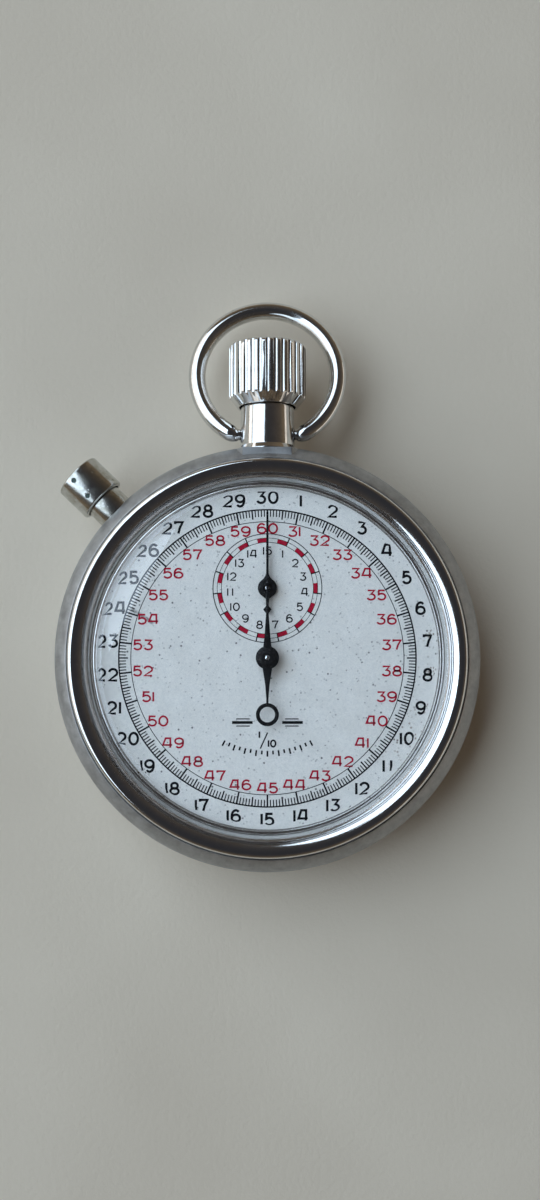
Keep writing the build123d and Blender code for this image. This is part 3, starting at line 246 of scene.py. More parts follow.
# ---- materials ----
class Finish:
    """A material's node tree, with short calls for the nodes that it needs."""

    def __init__(self, name, **settings):
        self.material = bpy.data.materials.new(name)
        self.material.use_nodes = True
        self.nodes = self.material.node_tree.nodes
        self.links = self.material.node_tree.links
        self.surface = self.nodes["Principled BSDF"]
        for socket, value in settings.items():
            self.surface.inputs[socket.replace("_", " ")].default_value = value
        self.place = self.node("ShaderNodeTexCoord").outputs["Object"]

    def node(self, kind, inputs=None, **settings):
        """A node whose inputs are links or values, and whose settings are attributes."""
        made = self.nodes.new(kind)
        for setting, value in settings.items():
            setattr(made, setting, value)
        for socket, value in (inputs or {}).items():
            if isinstance(value, bpy.types.NodeSocket):
                self.links.new(value, made.inputs[socket])
            else:
                made.inputs[socket].default_value = value
        return made

    def stretched(self, scale, turn=(0.0, 0.0, 0.0)):
        """Object coordinates in millimetres, turned and then scaled."""
        return self.node(
            "ShaderNodeMapping",
            {"Vector": self.place, "Rotation": [math.radians(t) for t in turn],
             "Scale": [s / MM for s in scale]}).outputs["Vector"]

    def around(self, along, across, height=0.0):
        """Coordinates that run round Z: turns by angle, by radius and by height."""
        parts = self.node("ShaderNodeSeparateXYZ", {"Vector": self.place})
        x, y, z = parts.outputs
        angle = self.math("ARCTAN2", y, x)
        radius = self.node("ShaderNodeVectorMath", {0: self.flat()}, operation="LENGTH")
        return self.node("ShaderNodeCombineXYZ", {
            "X": self.math("MULTIPLY", angle, along),
            "Y": self.math("MULTIPLY", radius.outputs["Value"], across / MM),
            "Z": self.math("MULTIPLY", z, height / MM)}).outputs["Vector"]

    def flat(self):
        """Object coordinates without their height."""
        return self.node(
            "ShaderNodeVectorMath", {0: self.place, 1: (1, 1, 0)},
            operation="MULTIPLY").outputs["Vector"]

    def math(self, operation, one, other=0.0):
        return self.node(
            "ShaderNodeMath", {0: one, 1: other}, operation=operation).outputs["Value"]

    def product(self, one, other):
        return self.math("MULTIPLY", one, other)

    def noise(self, scale, detail=3.0, roughness=0.55, vector=None):
        """Noise from 0 to 1, its scale in waves per millimetre."""
        vector = vector or self.stretched((1, 1, 1))
        return self.node("ShaderNodeTexNoise", {
            "Vector": vector, "Scale": scale, "Detail": detail,
            "Roughness": roughness}).outputs["Fac"]

    def spots(self, scale, full, none):
        """Round spots, about one per 1/scale millimetre: 1 at the middle, 0 outside."""
        cells = self.node("ShaderNodeTexVoronoi", {
            "Vector": self.stretched((1, 1, 1)), "Scale": scale, "Randomness": 1.0})
        return self.span(cells.outputs["Distance"], full, none, 1.0, 0.0)

    def span(self, value, low, high, to_low=0.0, to_high=1.0):
        """Maps a value from one range to another, and keeps it there."""
        return self.node("ShaderNodeMapRange", {
            "Value": value, "From Min": low, "From Max": high, "To Min": to_low,
            "To Max": to_high}).outputs["Result"]

    def blend(self, share, one, other):
        """A colour between two colours."""
        made = self.node("ShaderNodeMix", data_type="RGBA")
        for socket, value in ((0, share), (6, one), (7, other)):
            if isinstance(value, bpy.types.NodeSocket):
                self.links.new(value, made.inputs[socket])
            else:
                made.inputs[socket].default_value = value
        return made.outputs[2]

    def near(self, at, reach, soft):
        """1 within reach of a point, falling to 0 over the soft distance."""
        away = self.node(
            "ShaderNodeVectorMath", {0: self.place, 1: [c * MM for c in at]},
            operation="DISTANCE").outputs["Value"]
        return self.span(away, reach * MM, (reach + soft) * MM, 1.0, 0.0)

    def streak(self, at, turn, half_length, half_width):
        """1 along a short straight mark on the dial, and 0 a little way from it."""
        moved = self.node(
            "ShaderNodeVectorMath", {0: self.flat(), 1: (at[0] * MM, at[1] * MM, 0)},
            operation="SUBTRACT").outputs["Vector"]
        turned = self.node(
            "ShaderNodeMapping", {"Vector": moved, "Rotation": (0, 0, math.radians(-turn))})
        parts = self.node("ShaderNodeSeparateXYZ", {"Vector": turned.outputs["Vector"]})
        x, y = (self.math("ABSOLUTE", parts.outputs[axis]) for axis in "XY")
        fade_along, fade_across = 1.25, 1.8
        along = self.span(x, half_length * MM, fade_along * half_length * MM, 1.0, 0.0)
        across = self.span(y, half_width * MM, fade_across * half_width * MM, 1.0, 0.0)
        return self.product(along, across)

    def set(self, **sockets):
        """Links values to the surface's own sockets."""
        for socket, value in sockets.items():
            self.links.new(value, self.surface.inputs[socket.replace("_", " ")])
        return self

    def bumps(self, *layers):
        """Stacks bump layers, each a (height value, depth in millimetres)."""
        normal = None
        for height, depth in layers:
            inputs = {"Height": height, "Strength": 1.0, "Distance": depth * MM}
            if normal is not None:
                inputs["Normal"] = normal
            normal = self.node("ShaderNodeBump", inputs).outputs["Normal"]
        return self.set(Normal=normal)


def satin_case():
    """Worn satin nickel: blotches, fine scratches round the case, and small pits."""
    dull, light, pitted = (0.34, 0.345, 0.355, 1), (0.50, 0.505, 0.51, 1), (0.10, 0.09, 0.08, 1)
    f = Finish("satin_case", Metallic=1.0)
    blotch = f.noise(scale=0.55, detail=5, roughness=0.65)
    scratches = f.noise(1.0, 3, 0.6, f.around(along=34, across=0.5, height=0.6))
    pits = f.product(
        f.spots(2.2, full=0.0, none=0.16), f.span(f.noise(scale=1.1, detail=2), 0.55, 0.62))
    tone = f.span(f.math("ADD", blotch, f.product(scratches, 0.4)), 0.52, 0.88)
    colour = f.blend(pits, f.blend(tone, dull, light), pitted)
    f.set(Base_Color=colour, Roughness=f.span(blotch, 0.3, 0.7, 0.46, 0.62))
    return f.bumps((f.noise(9.0, 3), 0.004), (scratches, 0.003), (pits, -0.02)).material


def bright_plate():
    """Polished plating with faint handling marks."""
    clean, hazy, dirt = (0.78, 0.78, 0.775), 0.82, (0.12, 0.10, 0.08, 1)
    f = Finish("bright_plate", Metallic=1.0)
    haze = f.noise(scale=0.8, detail=4, roughness=0.6)
    lines = f.noise(1.0, 2, 0.5, f.stretched((0.6, 7.0, 7.0), turn=(0, 0, 35)))
    specks = f.spots(1.6, full=0.0, none=0.07)
    colour = f.blend(
        f.span(haze, 0.35, 0.7), (*clean, 1), (*(hazy * c for c in clean), 1))
    colour = f.blend(f.product(specks, 0.55), colour, dirt)
    f.set(Base_Color=colour, Roughness=f.span(haze, 0.3, 0.75, 0.05, 0.15))
    return f.bumps((lines, 0.0004), (haze, 0.003)).material


def worn_plate():
    """Worn, slightly yellow nickel plating, pitted through in places."""
    plated, worn, pitted = (0.62, 0.62, 0.60, 1), (0.42, 0.41, 0.36, 1), (0.04, 0.055, 0.05, 1)
    deep_pits = ((-23.35, 21.45, 10.1), (-21.7, 19.6, 10.05))
    f = Finish("worn_plate", Metallic=1.0)
    wear = f.noise(scale=0.9, detail=5, roughness=0.7)
    pits = f.product(
        f.spots(1.6, full=0.0, none=0.2), f.span(f.noise(scale=0.7, detail=2), 0.5, 0.56))
    for at in deep_pits:
        pits = f.math("MAXIMUM", pits, f.near(at, reach=0.24, soft=0.1))
    colour = f.blend(pits, f.blend(f.span(wear, 0.4, 0.65), plated, worn), pitted)
    f.set(Base_Color=colour, Roughness=f.span(wear, 0.3, 0.7, 0.12, 0.26))
    return f.bumps((f.noise(7.0, 4, 0.7), 0.003), (pits, -0.04)).material


def clear_dome():
    """The glass, which lets the lamps through to the dial."""
    f = Finish(
        "clear_dome", Base_Color=(0.985, 0.99, 1.0, 1), Transmission_Weight=1.0,
        IOR=1.49, Roughness=0.0)
    scuffs = f.noise(1.0, 2, 0.5, f.stretched((0.2, 4.0, 4.0), (0, 0, -50)))
    f.bumps((f.span(scuffs, 0.66, 0.8), 0.00004))
    output = f.nodes["Material Output"]
    open_to_lamps = f.node("ShaderNodeBsdfTransparent", {"Color": (0.96, 0.97, 0.98, 1)})
    path = f.node("ShaderNodeLightPath")
    mix = f.node("ShaderNodeMixShader", {0: path.outputs["Is Shadow Ray"]})
    f.links.new(f.surface.outputs["BSDF"], mix.inputs[1])
    f.links.new(open_to_lamps.outputs["BSDF"], mix.inputs[2])
    f.links.new(mix.outputs["Shader"], output.inputs["Surface"])
    return f.material


def dial_paint():
    """Aged off-white paint: grain, dark specks, brown foxing, brown stains with the hubs' painted
    shadows, and one scratch.
    """
    dark_paint, light_paint = (0.775, 0.75, 0.70, 1), (0.83, 0.805, 0.755, 1)
    hollows, shadow_and_stain_brown, rusty = (0.40, 0.42, 0.44, 1), (0.40, 0.32, 0.24, 1), (0.20, 0.13, 0.08, 1)
    speck, bare = (0.13, 0.12, 0.12, 1), (0.27, 0.26, 0.25, 1)
    # Brown patches down and to the right of both hubs: partly a stain, partly the hubs' painted
    # shadow.
    hub_shadow_and_stain_places = (((0.9, 7.6), 1.6), ((1.2, -0.9), 2.2))
    fox_places = ((19.9, 2.6), (19.4, -1.2), (18.4, -5.6))
    f = Finish("dial_paint", Specular_IOR_Level=0.3)
    mottle = f.noise(scale=0.35, detail=4, roughness=0.6)
    grain = f.noise(scale=4.0, detail=3, roughness=0.65)
    colour = f.blend(f.span(mottle, 0.35, 0.68), dark_paint, light_paint)
    colour = f.blend(f.span(grain, 0.35, 0.6, 0.22, 0.0), colour, hollows)
    # Painted hub shadows mixed with stain, broken up by the grain.
    hub_shadows_and_stains = f.math("ADD", *(f.near((*at, DIAL_Z), 0.3, soft) for at, soft in hub_shadow_and_stain_places))
    hub_shadows_and_stains = f.product(hub_shadows_and_stains, f.span(grain, 0.3, 0.7, 0.25, 0.6))
    colour = f.blend(hub_shadows_and_stains, colour, shadow_and_stain_brown)
    foxed = f.near((16.6, -9.6, DIAL_Z), reach=1.0, soft=3.0)
    for at in fox_places:
        foxed = f.math("ADD", foxed, f.near((*at, DIAL_Z), reach=0.4, soft=1.6))
    rust = f.product(
        f.spots(1.9, full=0.16, none=0.34), f.product(foxed, f.span(f.noise(1.3), 0.38, 0.44)))
    colour = f.blend(f.product(rust, 0.8), colour, rusty)
    coarse = f.product(
        f.spots(0.95, full=0.07, none=0.15), f.span(f.noise(0.8, 2), 0.48, 0.52))
    fine = f.product(
        f.spots(1.9, full=0.14, none=0.26), f.span(f.noise(1.7, 2), 0.50, 0.56, 0.0, 0.5))
    colour = f.blend(f.math("MAXIMUM", coarse, fine), colour, speck)
    scratch = f.streak((-14.9, 5.0), turn=-33, half_length=1.4, half_width=0.16)
    scratch = f.product(scratch, f.span(grain, 0.3, 0.55))
    colour = f.blend(scratch, colour, bare)
    f.set(Base_Color=colour, Roughness=f.span(grain, 0.3, 0.7, 0.42, 0.58))
    return f.bumps((grain, 0.012), (scratch, -0.03)).material


def ink(name, dark, light):
    """Printing ink, a little worn."""
    f = Finish(name, Roughness=0.5, Specular_IOR_Level=0.08)
    wear = f.noise(2.4, 4, 0.7)
    f.set(Base_Color=f.blend(f.span(wear, 0.45, 0.8), dark, light))
    return f.bumps((f.noise(8.0, 2), 0.002)).material


def black_lacquer():
    """The hands' black lacquer, a little dusty."""
    black, dusty = (0.008, 0.008, 0.009, 1), (0.03, 0.028, 0.025, 1)
    f = Finish("black_lacquer", Specular_IOR_Level=0.15)
    dust = f.noise(scale=3.0, detail=4, roughness=0.7)
    f.set(
        Base_Color=f.blend(f.span(dust, 0.5, 0.8), black, dusty),
        Roughness=f.span(dust, 0.3, 0.7, 0.16, 0.3))
    return f.bumps((dust, 0.001)).material


def movement_metal(name, tint, low, high, grain):
    """A movement part's metal, its fine grain scaled along X, Y and Z."""
    f = Finish(name, Metallic=1.0)
    tone = f.noise(scale=0.8, detail=3)
    darker = tuple(0.8 * c for c in tint[:3]) + (1,)
    lines = f.noise(1.0, 2, 0.5, f.stretched(grain))
    f.set(
        Base_Color=f.blend(f.span(tone, 0.3, 0.7), tint, darker),
        Roughness=f.span(lines, 0.3, 0.7, low, high))
    return f.bumps((lines, 0.003)).material


def ruby():
    """The bearings' ruby."""
    f = Finish("ruby", Transmission_Weight=0.6, IOR=1.77, Roughness=0.05)
    depth = f.noise(2.0, 2)
    f.set(Base_Color=f.blend(depth, (0.55, 0.02, 0.07, 1), (0.75, 0.05, 0.12, 1)))
    return f.material


def pale_cloth():
    """The plain pale floor, with a faint grain."""
    dark, light = (0.79, 0.70, 0.575, 1), (0.88, 0.79, 0.655, 1)
    f = Finish("pale_floor", Roughness=0.9, Specular_IOR_Level=0.2)
    tone = f.noise(scale=0.02, detail=3, roughness=0.5)
    grain = f.noise(scale=1.4, detail=3, roughness=0.6)
    f.set(Base_Color=f.blend(f.span(tone, 0.35, 0.65), dark, light))
    return f.bumps((grain, 0.05)).material


# ---- case ----
def case_band(material):
    """The band: rounded outside, with the rim that carries the bezel, and the boss."""
    widest, shoulder, groove = (26.0, 7.0), (24.0, 11.7), (23.95, GROOVE_Z)
    rim_r, dial_r, plate_r, cavity_r, back_r = 23.0, 21.9, 21.55, 21.15, 23.6
    outline = arc((24.95, BAND_FOOT_Z), (25.74, 4.6), widest, 12)
    outline += arc(widest, (25.62, 9.42), shoulder, 16)[1:]
    outline += [
        groove, (rim_r, GROOVE_Z), (rim_r, RIM_Z), (dial_r, RIM_Z), (dial_r, DIAL_SEAT_Z),
        (plate_r, DIAL_SEAT_Z), (plate_r, PLATE_SEAT_Z), (cavity_r, PLATE_SEAT_Z),
        (cavity_r, BACK_SEAT_Z), (back_r, BACK_SEAT_Z), (back_r, BAND_FOOT_Z)]
    band = lathe("case_band_shell", softened(outline, 0.12))

    half, top, low, corner, flatter = 3.7, 11.15, 3.25, 1.3, 0.55
    boss_end, boss_start = -25.35, -23.7
    side = [(half, low + corner), (half, top - corner)]
    section = side + [(half - corner * flatter, top), (-half + corner * flatter, top)]
    section += [(-x, z) for x, z in side[::-1]]
    section += [(-half + corner, low), (half - corner, low)]
    boss = slab("boss", softened(section, 0.25), boss_end, boss_start,
                Matrix.Rotation(math.radians(90), 4, "X"))
    band = combined(band, boss, "UNION")

    start, sides = 20, 96
    seat_r, seat_y, neck_r, pusher_r, pusher_y = half + 0.02, 25.33, 2.4, 1.9, 25.5
    seat = [(0, seat_y), (seat_r, seat_y), (seat_r, TUBE_END), (0, TUBE_END)]
    band = combined(band, lathe("seat", seat, ON_STEM, sides), "DIFFERENCE")
    bore = [(0, start), (neck_r, start), (neck_r, 26), (0, 26)]
    band = combined(band, lathe("bore", bore, ON_STEM, sides), "DIFFERENCE")
    bore = [(0, start), (pusher_r, start), (pusher_r, pusher_y), (TUBE_SEAT_R, pusher_y),
            (TUBE_SEAT_R, TUBE_END), (0, TUBE_END)]
    band = combined(band, lathe("bore", bore, ON_PUSHER, sides), "DIFFERENCE")
    return finished(band, "case", "case_metal", material, "case_band")


def case_back(material):
    """The snap-on back: flat in the middle, with a rolled rim and a shallow step."""
    flat_r, wall, edge_r, edge_z = 17.0, 0.75, 24.9, 2.35
    step_depth, rim_r, rim_inner_r, rim_z = 0.1, 23.58, 22.6, 3.4
    outline = [(0, 0), (14.2, 0), (14.35, step_depth), (14.65, step_depth), (14.8, 0)]
    outline += arc((flat_r, 0), (21.4, 0.72), (edge_r, edge_z), 16)
    outline += [(rim_r, edge_z), (rim_r, rim_z), (rim_inner_r, rim_z)]
    outline += arc((rim_inner_r, 2.2), (20.2, 1.25), (flat_r, wall), 12)
    outline += [(0, wall)]
    back = lathe("case_back_cover", softened(outline, 0.08))
    return finished(back, "case", "case_metal", material, "case_back")


def bezel(material):
    """The polished ring: an upright foot, a crest and a wide face that slopes inward."""
    crest, shoulder_z, lip_z, foot_z = (23.05, 13.95), 13.4, 13.2, 11.35
    flange_top_z, rim_gap_z, groove_r, bore_r = 13.0, 12.43, 22.32, 23.02
    outline = [(BEZEL_R, foot_z)]
    outline += arc((BEZEL_R, shoulder_z), (23.44, 13.79), crest, 12)
    outline += arc(crest, (22.12, 13.75), (BEZEL_LIP_R, lip_z), 16)[1:]
    outline += [
        (BEZEL_LIP_R, flange_top_z), (groove_r, flange_top_z), (groove_r, rim_gap_z),
        (bore_r, rim_gap_z), (bore_r, foot_z)]
    ring = lathe("bezel_ring", softened(outline, 0.06))
    return finished(ring, "case", "bright_metal", material, "bezel")


def crystal(material):
    """The domed glass, an even wall with a steep rounded shoulder."""
    foot_z, flange_z, bore_r, wall_r = 12.43, 12.97, 20.45, 21.3
    inner_edge, inner_top_z = (19.18, 14.5), 15.45
    outline = [(bore_r, foot_z), (GLASS_FLANGE_R, foot_z), (GLASS_FLANGE_R, flange_z),
               (wall_r, flange_z)]
    outline += arc((wall_r, 13.6), (20.6, 14.8), DOME_EDGE, 16)
    outline += arc(DOME_EDGE, (9.65, 16.06), (0, DOME_TOP_Z), 24)[1:]
    outline += arc((0, inner_top_z), (9.6, 15.21), inner_edge, 24)
    outline += arc(inner_edge, (20.04, 14.16), (bore_r, 13.43), 16)[1:]
    glass = lathe("crystal_dome", outline)
    return finished(glass, "case", "glass", material, "crystal")


def neck(material):
    """The pendant tube: a bevelled skirt, a slightly tapered tube and the bow's holes."""
    stem_r, root_r, bore_r, skirt_r, top_r = 0.8, 2.38, 2.2, 3.7, 3.25
    root_y, seat_y, floor_y, top_y, pin_r = 22.0, 25.36, 26.6, 31.7, 0.72
    outline = [
        (stem_r, root_y), (root_r, root_y), (root_r, seat_y), (skirt_r, seat_y),
        (skirt_r, 25.5), (3.4, 26.05), (top_r, top_y), (bore_r, top_y), (bore_r, floor_y),
        (stem_r, floor_y)]
    tube = lathe("pendant_neck", softened(outline, 0.07), ON_STEM, 192)
    across = Matrix.Translation((0, BOW_PIVOT_Y, STEM_Z)) @ Matrix.Rotation(
        math.radians(90), 4, "Y")
    pins = lathe("pins", [(0, -5), (pin_r, -5), (pin_r, 5), (0, 5)], across, 48)
    tube = combined(tube, pins, "DIFFERENCE")
    return finished(tube, "case", "bright_metal", material, "pendant_tube")


def crown(material):
    """The fluted crown: smooth chamfer below, rounded top, 32 flutes between."""
    radius, foot_r, bore_r, top_r = 4.73, 3.75, 3.47, 4.25
    foot_y, bore_y, top_y = 30.9, 33.2, 39.0
    outline = [(0, bore_y), (bore_r, bore_y), (bore_r, foot_y), (foot_r, foot_y)]
    outline += arc((4.55, 31.95), (4.69, 32.12), (radius, 32.3), 4)
    outline += arc((radius, 37.9), (4.6, 38.3), (top_r, 38.52), 5)
    outline += arc((top_r, 38.52), (2.3, 38.88), (0, top_y), 10)[1:]
    body = lathe("fluted_crown", softened(outline, 0.08), ON_STEM, 256)

    flutes, flute_r, flute_at, sides = 32, 0.34, radius + 0.12, 14
    flute_start_y, flute_end_y = 31.2, 38.9
    vertices, faces = [], []
    for number in range(flutes):
        turn = math.tau * number / flutes
        cx, cy = flute_at * math.cos(turn), flute_at * math.sin(turn)
        start = len(vertices)
        for side in range(sides):
            around = turn + math.tau * side / sides
            x, y = cx + flute_r * math.cos(around), cy + flute_r * math.sin(around)
            vertices += [(x, y, flute_start_y), (x, y, flute_end_y)]
            after = (side + 1) % sides
            faces.append([start + 2 * side, start + 2 * after,
                          start + 2 * after + 1, start + 2 * side + 1])
        faces.append([start + 2 * side for side in range(sides)][::-1])
        faces.append([start + 2 * side + 1 for side in range(sides)])
    body = combined(body, new_object("flutes", vertices, faces, ON_STEM), "DIFFERENCE", 26.0)
    return finished(body, "crown_and_stem", "bright_metal", material, "crown")


def pusher(material):
    """The reset pusher: its tube in the band, and its plain cap."""
    stem_r, root_r, head_r, bore_r = 0.88, 1.88, 2.35, 1.5
    start, floor, seat, end = 22.0, 23.2, 25.52, 28.6
    tube = [(stem_r, start), (root_r, start), (root_r, seat), (head_r, seat), (head_r, end),
            (bore_r, end), (bore_r, floor), (stem_r, floor)]
    made = lathe("reset_pusher_tube", softened(tube, 0.08), ON_PUSHER, 160)
    finished(made, "case", "pusher_metal", material, "pusher_tube")

    radius, cap_bore_r, ceiling, low, high = 3.0, 2.5, 30.2, 28.0, 32.5
    cap = [(0, ceiling), (cap_bore_r, ceiling), (cap_bore_r, low)]
    cap += arc((radius - 0.3, low), (radius - 0.09, low + 0.09), (radius, low + 0.3), 5)
    cap += arc((radius, high - 0.22), (radius - 0.06, high - 0.06), (radius - 0.22, high), 5)
    cap += [(0, high)]
    made = lathe("reset_pusher_cap", cap, ON_PUSHER, 192)
    finished(made, "pusher", "pusher_metal", material, "pusher_cap")


def bow(material):
    """The loop of round wire, its ends drawn in to pins that enter the neck."""
    ring_r, wire_r, centre_y = 8.75, 1.05, 7.7
    end_turn, tilt = 31.5, -10.0
    pin_r, pin_x = 0.65, 2.7
    sides, steps = 28, 176
    turns = [math.radians(-90 + end_turn + (360 - 2 * end_turn) * s / steps)
             for s in range(steps + 1)]
    path = [(ring_r * math.cos(t), centre_y + ring_r * math.sin(t)) for t in turns]
    ways = [(-math.sin(t), math.cos(t)) for t in turns]
    stations = [(at, way, wire_r) for at, way in zip(path, ways)]
    # Each place on the way into the neck: x, y, how level the wire runs, and its radius.
    bend = [(4.3, 0.12, 0.93, 1.0), (4.02, 0.04, 0.98, 0.92), (3.76, 0.0, 1.0, 0.8),
            (3.54, 0.0, 1.0, pin_r), (pin_x, 0.0, 1.0, pin_r)]
    for x, y, lean, radius in bend:
        drop = math.sqrt(1 - lean * lean)
        stations.insert(0, ((x, y), (lean, drop), radius))
        stations.append(((-x, y), (lean, -drop), radius))
    vertices, faces = [], []
    for (x, y), (wx, wy), radius in stations:
        for side in range(sides):
            turn = math.tau * side / sides
            out, up = radius * math.cos(turn), radius * math.sin(turn)
            vertices.append((x + out * wy, y - out * wx, up))
    for ring in range(len(stations) - 1):
        for side in range(sides):
            here, after = ring * sides + side, ring * sides + (side + 1) % sides
            faces.append([here, after, after + sides, here + sides])
    last = (len(stations) - 1) * sides
    faces += [list(range(sides))[::-1], list(range(last, last + sides))]
    place = Matrix.Translation((0, BOW_PIVOT_Y, STEM_Z)) @ Matrix.Rotation(
        math.radians(tilt), 4, "X")
    loop = new_object("bow_loop", vertices, faces, place, crease=40.0)
    return finished(loop, "bow", "bright_metal", material, "bow")


# ---- print on the dial ----
class Print:
    """Thin raised shapes printed on the dial, gathered into one closed mesh."""

    def __init__(self):
        self.vertices = []
        self.faces = []

    def band(self, left, right, closed):
        """A strip between two lines of points, with a top, a bottom and sides."""
        start, count = len(self.vertices), len(left)
        for (ax, ay), (bx, by) in zip(left, right):
            for z in (DIAL_Z - PRINT_ROOT, DIAL_Z + INK):
                self.vertices += [(ax, ay, z), (bx, by, z)]
        for step in range(count if closed else count - 1):
            a, b = start + 4 * step, start + 4 * ((step + 1) % count)
            self.faces += [
                [a, b, b + 1, a + 1], [a + 2, a + 3, b + 3, b + 2],
                [a, a + 2, b + 2, b], [a + 1, b + 1, b + 3, a + 3]]
        if not closed:
            end = start + 4 * (count - 1)
            self.faces += [[start, start + 1, start + 3, start + 2],
                           [end, end + 2, end + 3, end + 1]]

    def stroke(self, points, width, closed=False):
        """A pen stroke along points, with mitred corners."""
        least_cosine, most_mitre = 0.3, 1.7
        if closed:
            points = points[:-1]
        count, left, right = len(points), [], []
        for number, here in enumerate(points):
            here = Vector(here)
            way_in = way_out = None
            if closed or number:
                way_in = (here - Vector(points[number - 1])).normalized()
            if closed or number < count - 1:
                way_out = (Vector(points[(number + 1) % count]) - here).normalized()
            way_in, way_out = way_in or way_out, way_out or way_in
            way = (way_in + way_out).normalized()
            side = Vector((-way.y, way.x))
            stretch = min(1 / max(way.dot(way_in), least_cosine), most_mitre)
            left.append(tuple(here + side * stretch * width / 2))
            right.append(tuple(here - side * stretch * width / 2))
        self.band(left, right, closed)

    def ring(self, radius, width, about=(0.0, 0.0), first=0.0, last=360.0, steps=360):
        """A ring or an arc of a circle, from one dial direction to another."""
        closed = last - first >= 360
        turns = [first + (last - first) * s / steps for s in range(steps if closed else steps + 1)]
        self.band(
            [polar(radius + width / 2, t, about) for t in turns],
            [polar(radius - width / 2, t, about) for t in turns], closed)

    def tick(self, inner, outer, turn, width, about=(0.0, 0.0)):
        """A short line that points away from a centre."""
        self.stroke([polar(inner, turn, about), polar(outer, turn, about)], width)

    def number(self, value, centre, height, pen, widen=1.0, gap=0.36):
        """A whole number, upright, round its centre; the gap is a share of the height."""
        tall = height - pen
        wide = tall * widen
        glyphs = [glyph(digit) for digit in str(value)]
        if value == 11:
            gap += 0.3
        length = sum(width for width, _ in glyphs) * wide + gap * (len(glyphs) - 1) * tall
        x = centre[0] - length / 2
        for width, strokes in glyphs:
            for points, closed in strokes:
                self.stroke(
                    [(x + px * wide, centre[1] + (py - 0.5) * tall) for px, py in points],
                    pen, closed)
            x += width * wide + gap * tall

    def placed(self, name, material):
        """Makes the print one piece of the dial, with no slot of its own."""
        made = new_object(name, self.vertices, self.faces)
        finished(made, "case", None, material)


def glyph(digit):
    """A digit's width and its strokes, one unit tall, each with whether it is a loop."""
    if digit == "0":
        return 0.74, [(ellipse((0.37, 0.5), (0.37, 0.5), 0, 360, 40), True)]
    if digit == "1":
        return 0.0, [([(0, 0), (0, 1)], False)]
    if digit == "2":
        top = ellipse((0.35, 0.68), (0.35, 0.32), 168, -32, 20)
        return 0.7, [(top + [(0, 0), (0.7, 0)], False)]
    if digit == "3":
        bowl = ellipse((0.32, 0.305), (0.35, 0.305), 88, -158, 24)
        return 0.67, [([(0.02, 1), (0.62, 1)] + bowl, False)]
    if digit == "4":
        return 0.8, [([(0.66, 0), (0.66, 1), (0.24, 1), (0, 0.28), (0.82, 0.28)], False)]
    if digit == "5":
        bowl = ellipse((0.31, 0.325), (0.34, 0.325), 134, -155, 24)
        return 0.65, [([(0.6, 1), (0.07, 1), (0.04, 0.55)] + bowl, False)]
    if digit in "69":
        strokes = [ellipse((0.36, 0.5), (0.36, 0.5), 46, 180, 20)
                   + ellipse((0.36, 0.31), (0.36, 0.31), 180, 539, 32)]
        if digit == "9":
            strokes = [[(0.72 - x, 1 - y) for x, y in strokes[0]]]
        return 0.72, [(strokes[0], False)]
    if digit == "7":
        return 0.66, [([(0, 0.84), (0, 1), (0.66, 1), (0.42, 0.52), (0.28, 0)], False)]
    return 0.72, [
        (ellipse((0.36, 0.755), (0.28, 0.245), 0, 360, 32), True),
        (ellipse((0.36, 0.27), (0.36, 0.27), 0, 360, 32), True)]


SECONDS, MINUTES = 30, 15
TRACK_OUTER, TRACK_INNER = 17.64, 16.21


def seconds_track(black):
    """Tenths, half seconds and seconds, between an outer and a thin inner circle."""
    tenth_mark, half_mark, second_mark = (16.8, 0.13), (16.55, 0.17), (TRACK_INNER, 0.2)
    track = Print()
    track.ring(TRACK_OUTER, width=0.17)
    track.ring(TRACK_INNER, width=0.09)
    for tenth in range(10 * SECONDS):
        turn = tenth * 360 / (10 * SECONDS)
        inner, width = tenth_mark
        if tenth % 10 == 0:
            inner, width = second_mark
        elif tenth % 5 == 0:
            inner, width = half_mark
        track.tick(inner, TRACK_OUTER, turn, width)
    track.placed("seconds_track", black)


def second_numerals(black, red):
    """1 to 30 in black outside the track, and 31 to 60 in red inside it."""
    outer_r, inner_edge_r, half_width, half_height = 19.13, 16.03, 1.19, 0.62
    outer, inner = Print(), Print()
    for value in range(1, SECONDS + 1):
        turn = value * 360 / SECONDS
        outer.number(value, polar(outer_r, turn), height=1.64, pen=0.29)
        lean = math.radians(turn)
        inset = math.hypot(half_width * math.sin(lean), half_height * math.cos(lean))
        inner.number(value + SECONDS, polar(inner_edge_r - inset, turn), height=1.32,
                     pen=0.215, widen=1.2, gap=0.34)
    outer.placed("second_numerals", black)
    inner.placed("second_numerals_red", red)


def minute_register(black, red):
    """The 15-minute register: three circles, ticks, numerals and red half-minutes."""
    track, numerals, halves = Print(), Print(), Print()
    outer, middle, inner, numeral_r = 6.47, 5.97, 5.46, 4.45
    for radius, width in ((outer, 0.1), (middle, 0.06), (inner, 0.07)):
        track.ring(radius, width, MINUTE_AT, steps=180)
    for minute in range(1, MINUTES + 1):
        turn = minute * 360 / MINUTES
        track.tick(inner, outer, turn, 0.14, MINUTE_AT)
        halves.ring((middle + inner) / 2, middle - inner, MINUTE_AT,
                    first=turn - 180 / MINUTES, last=turn, steps=10)
        numerals.number(minute, polar(numeral_r, turn, MINUTE_AT), height=1.03, pen=0.16,
                        widen=1.05, gap=0.37)
    halves.placed("register_half_minutes", red)
    track.placed("register_track", black)
    numerals.placed("register_numerals", black)


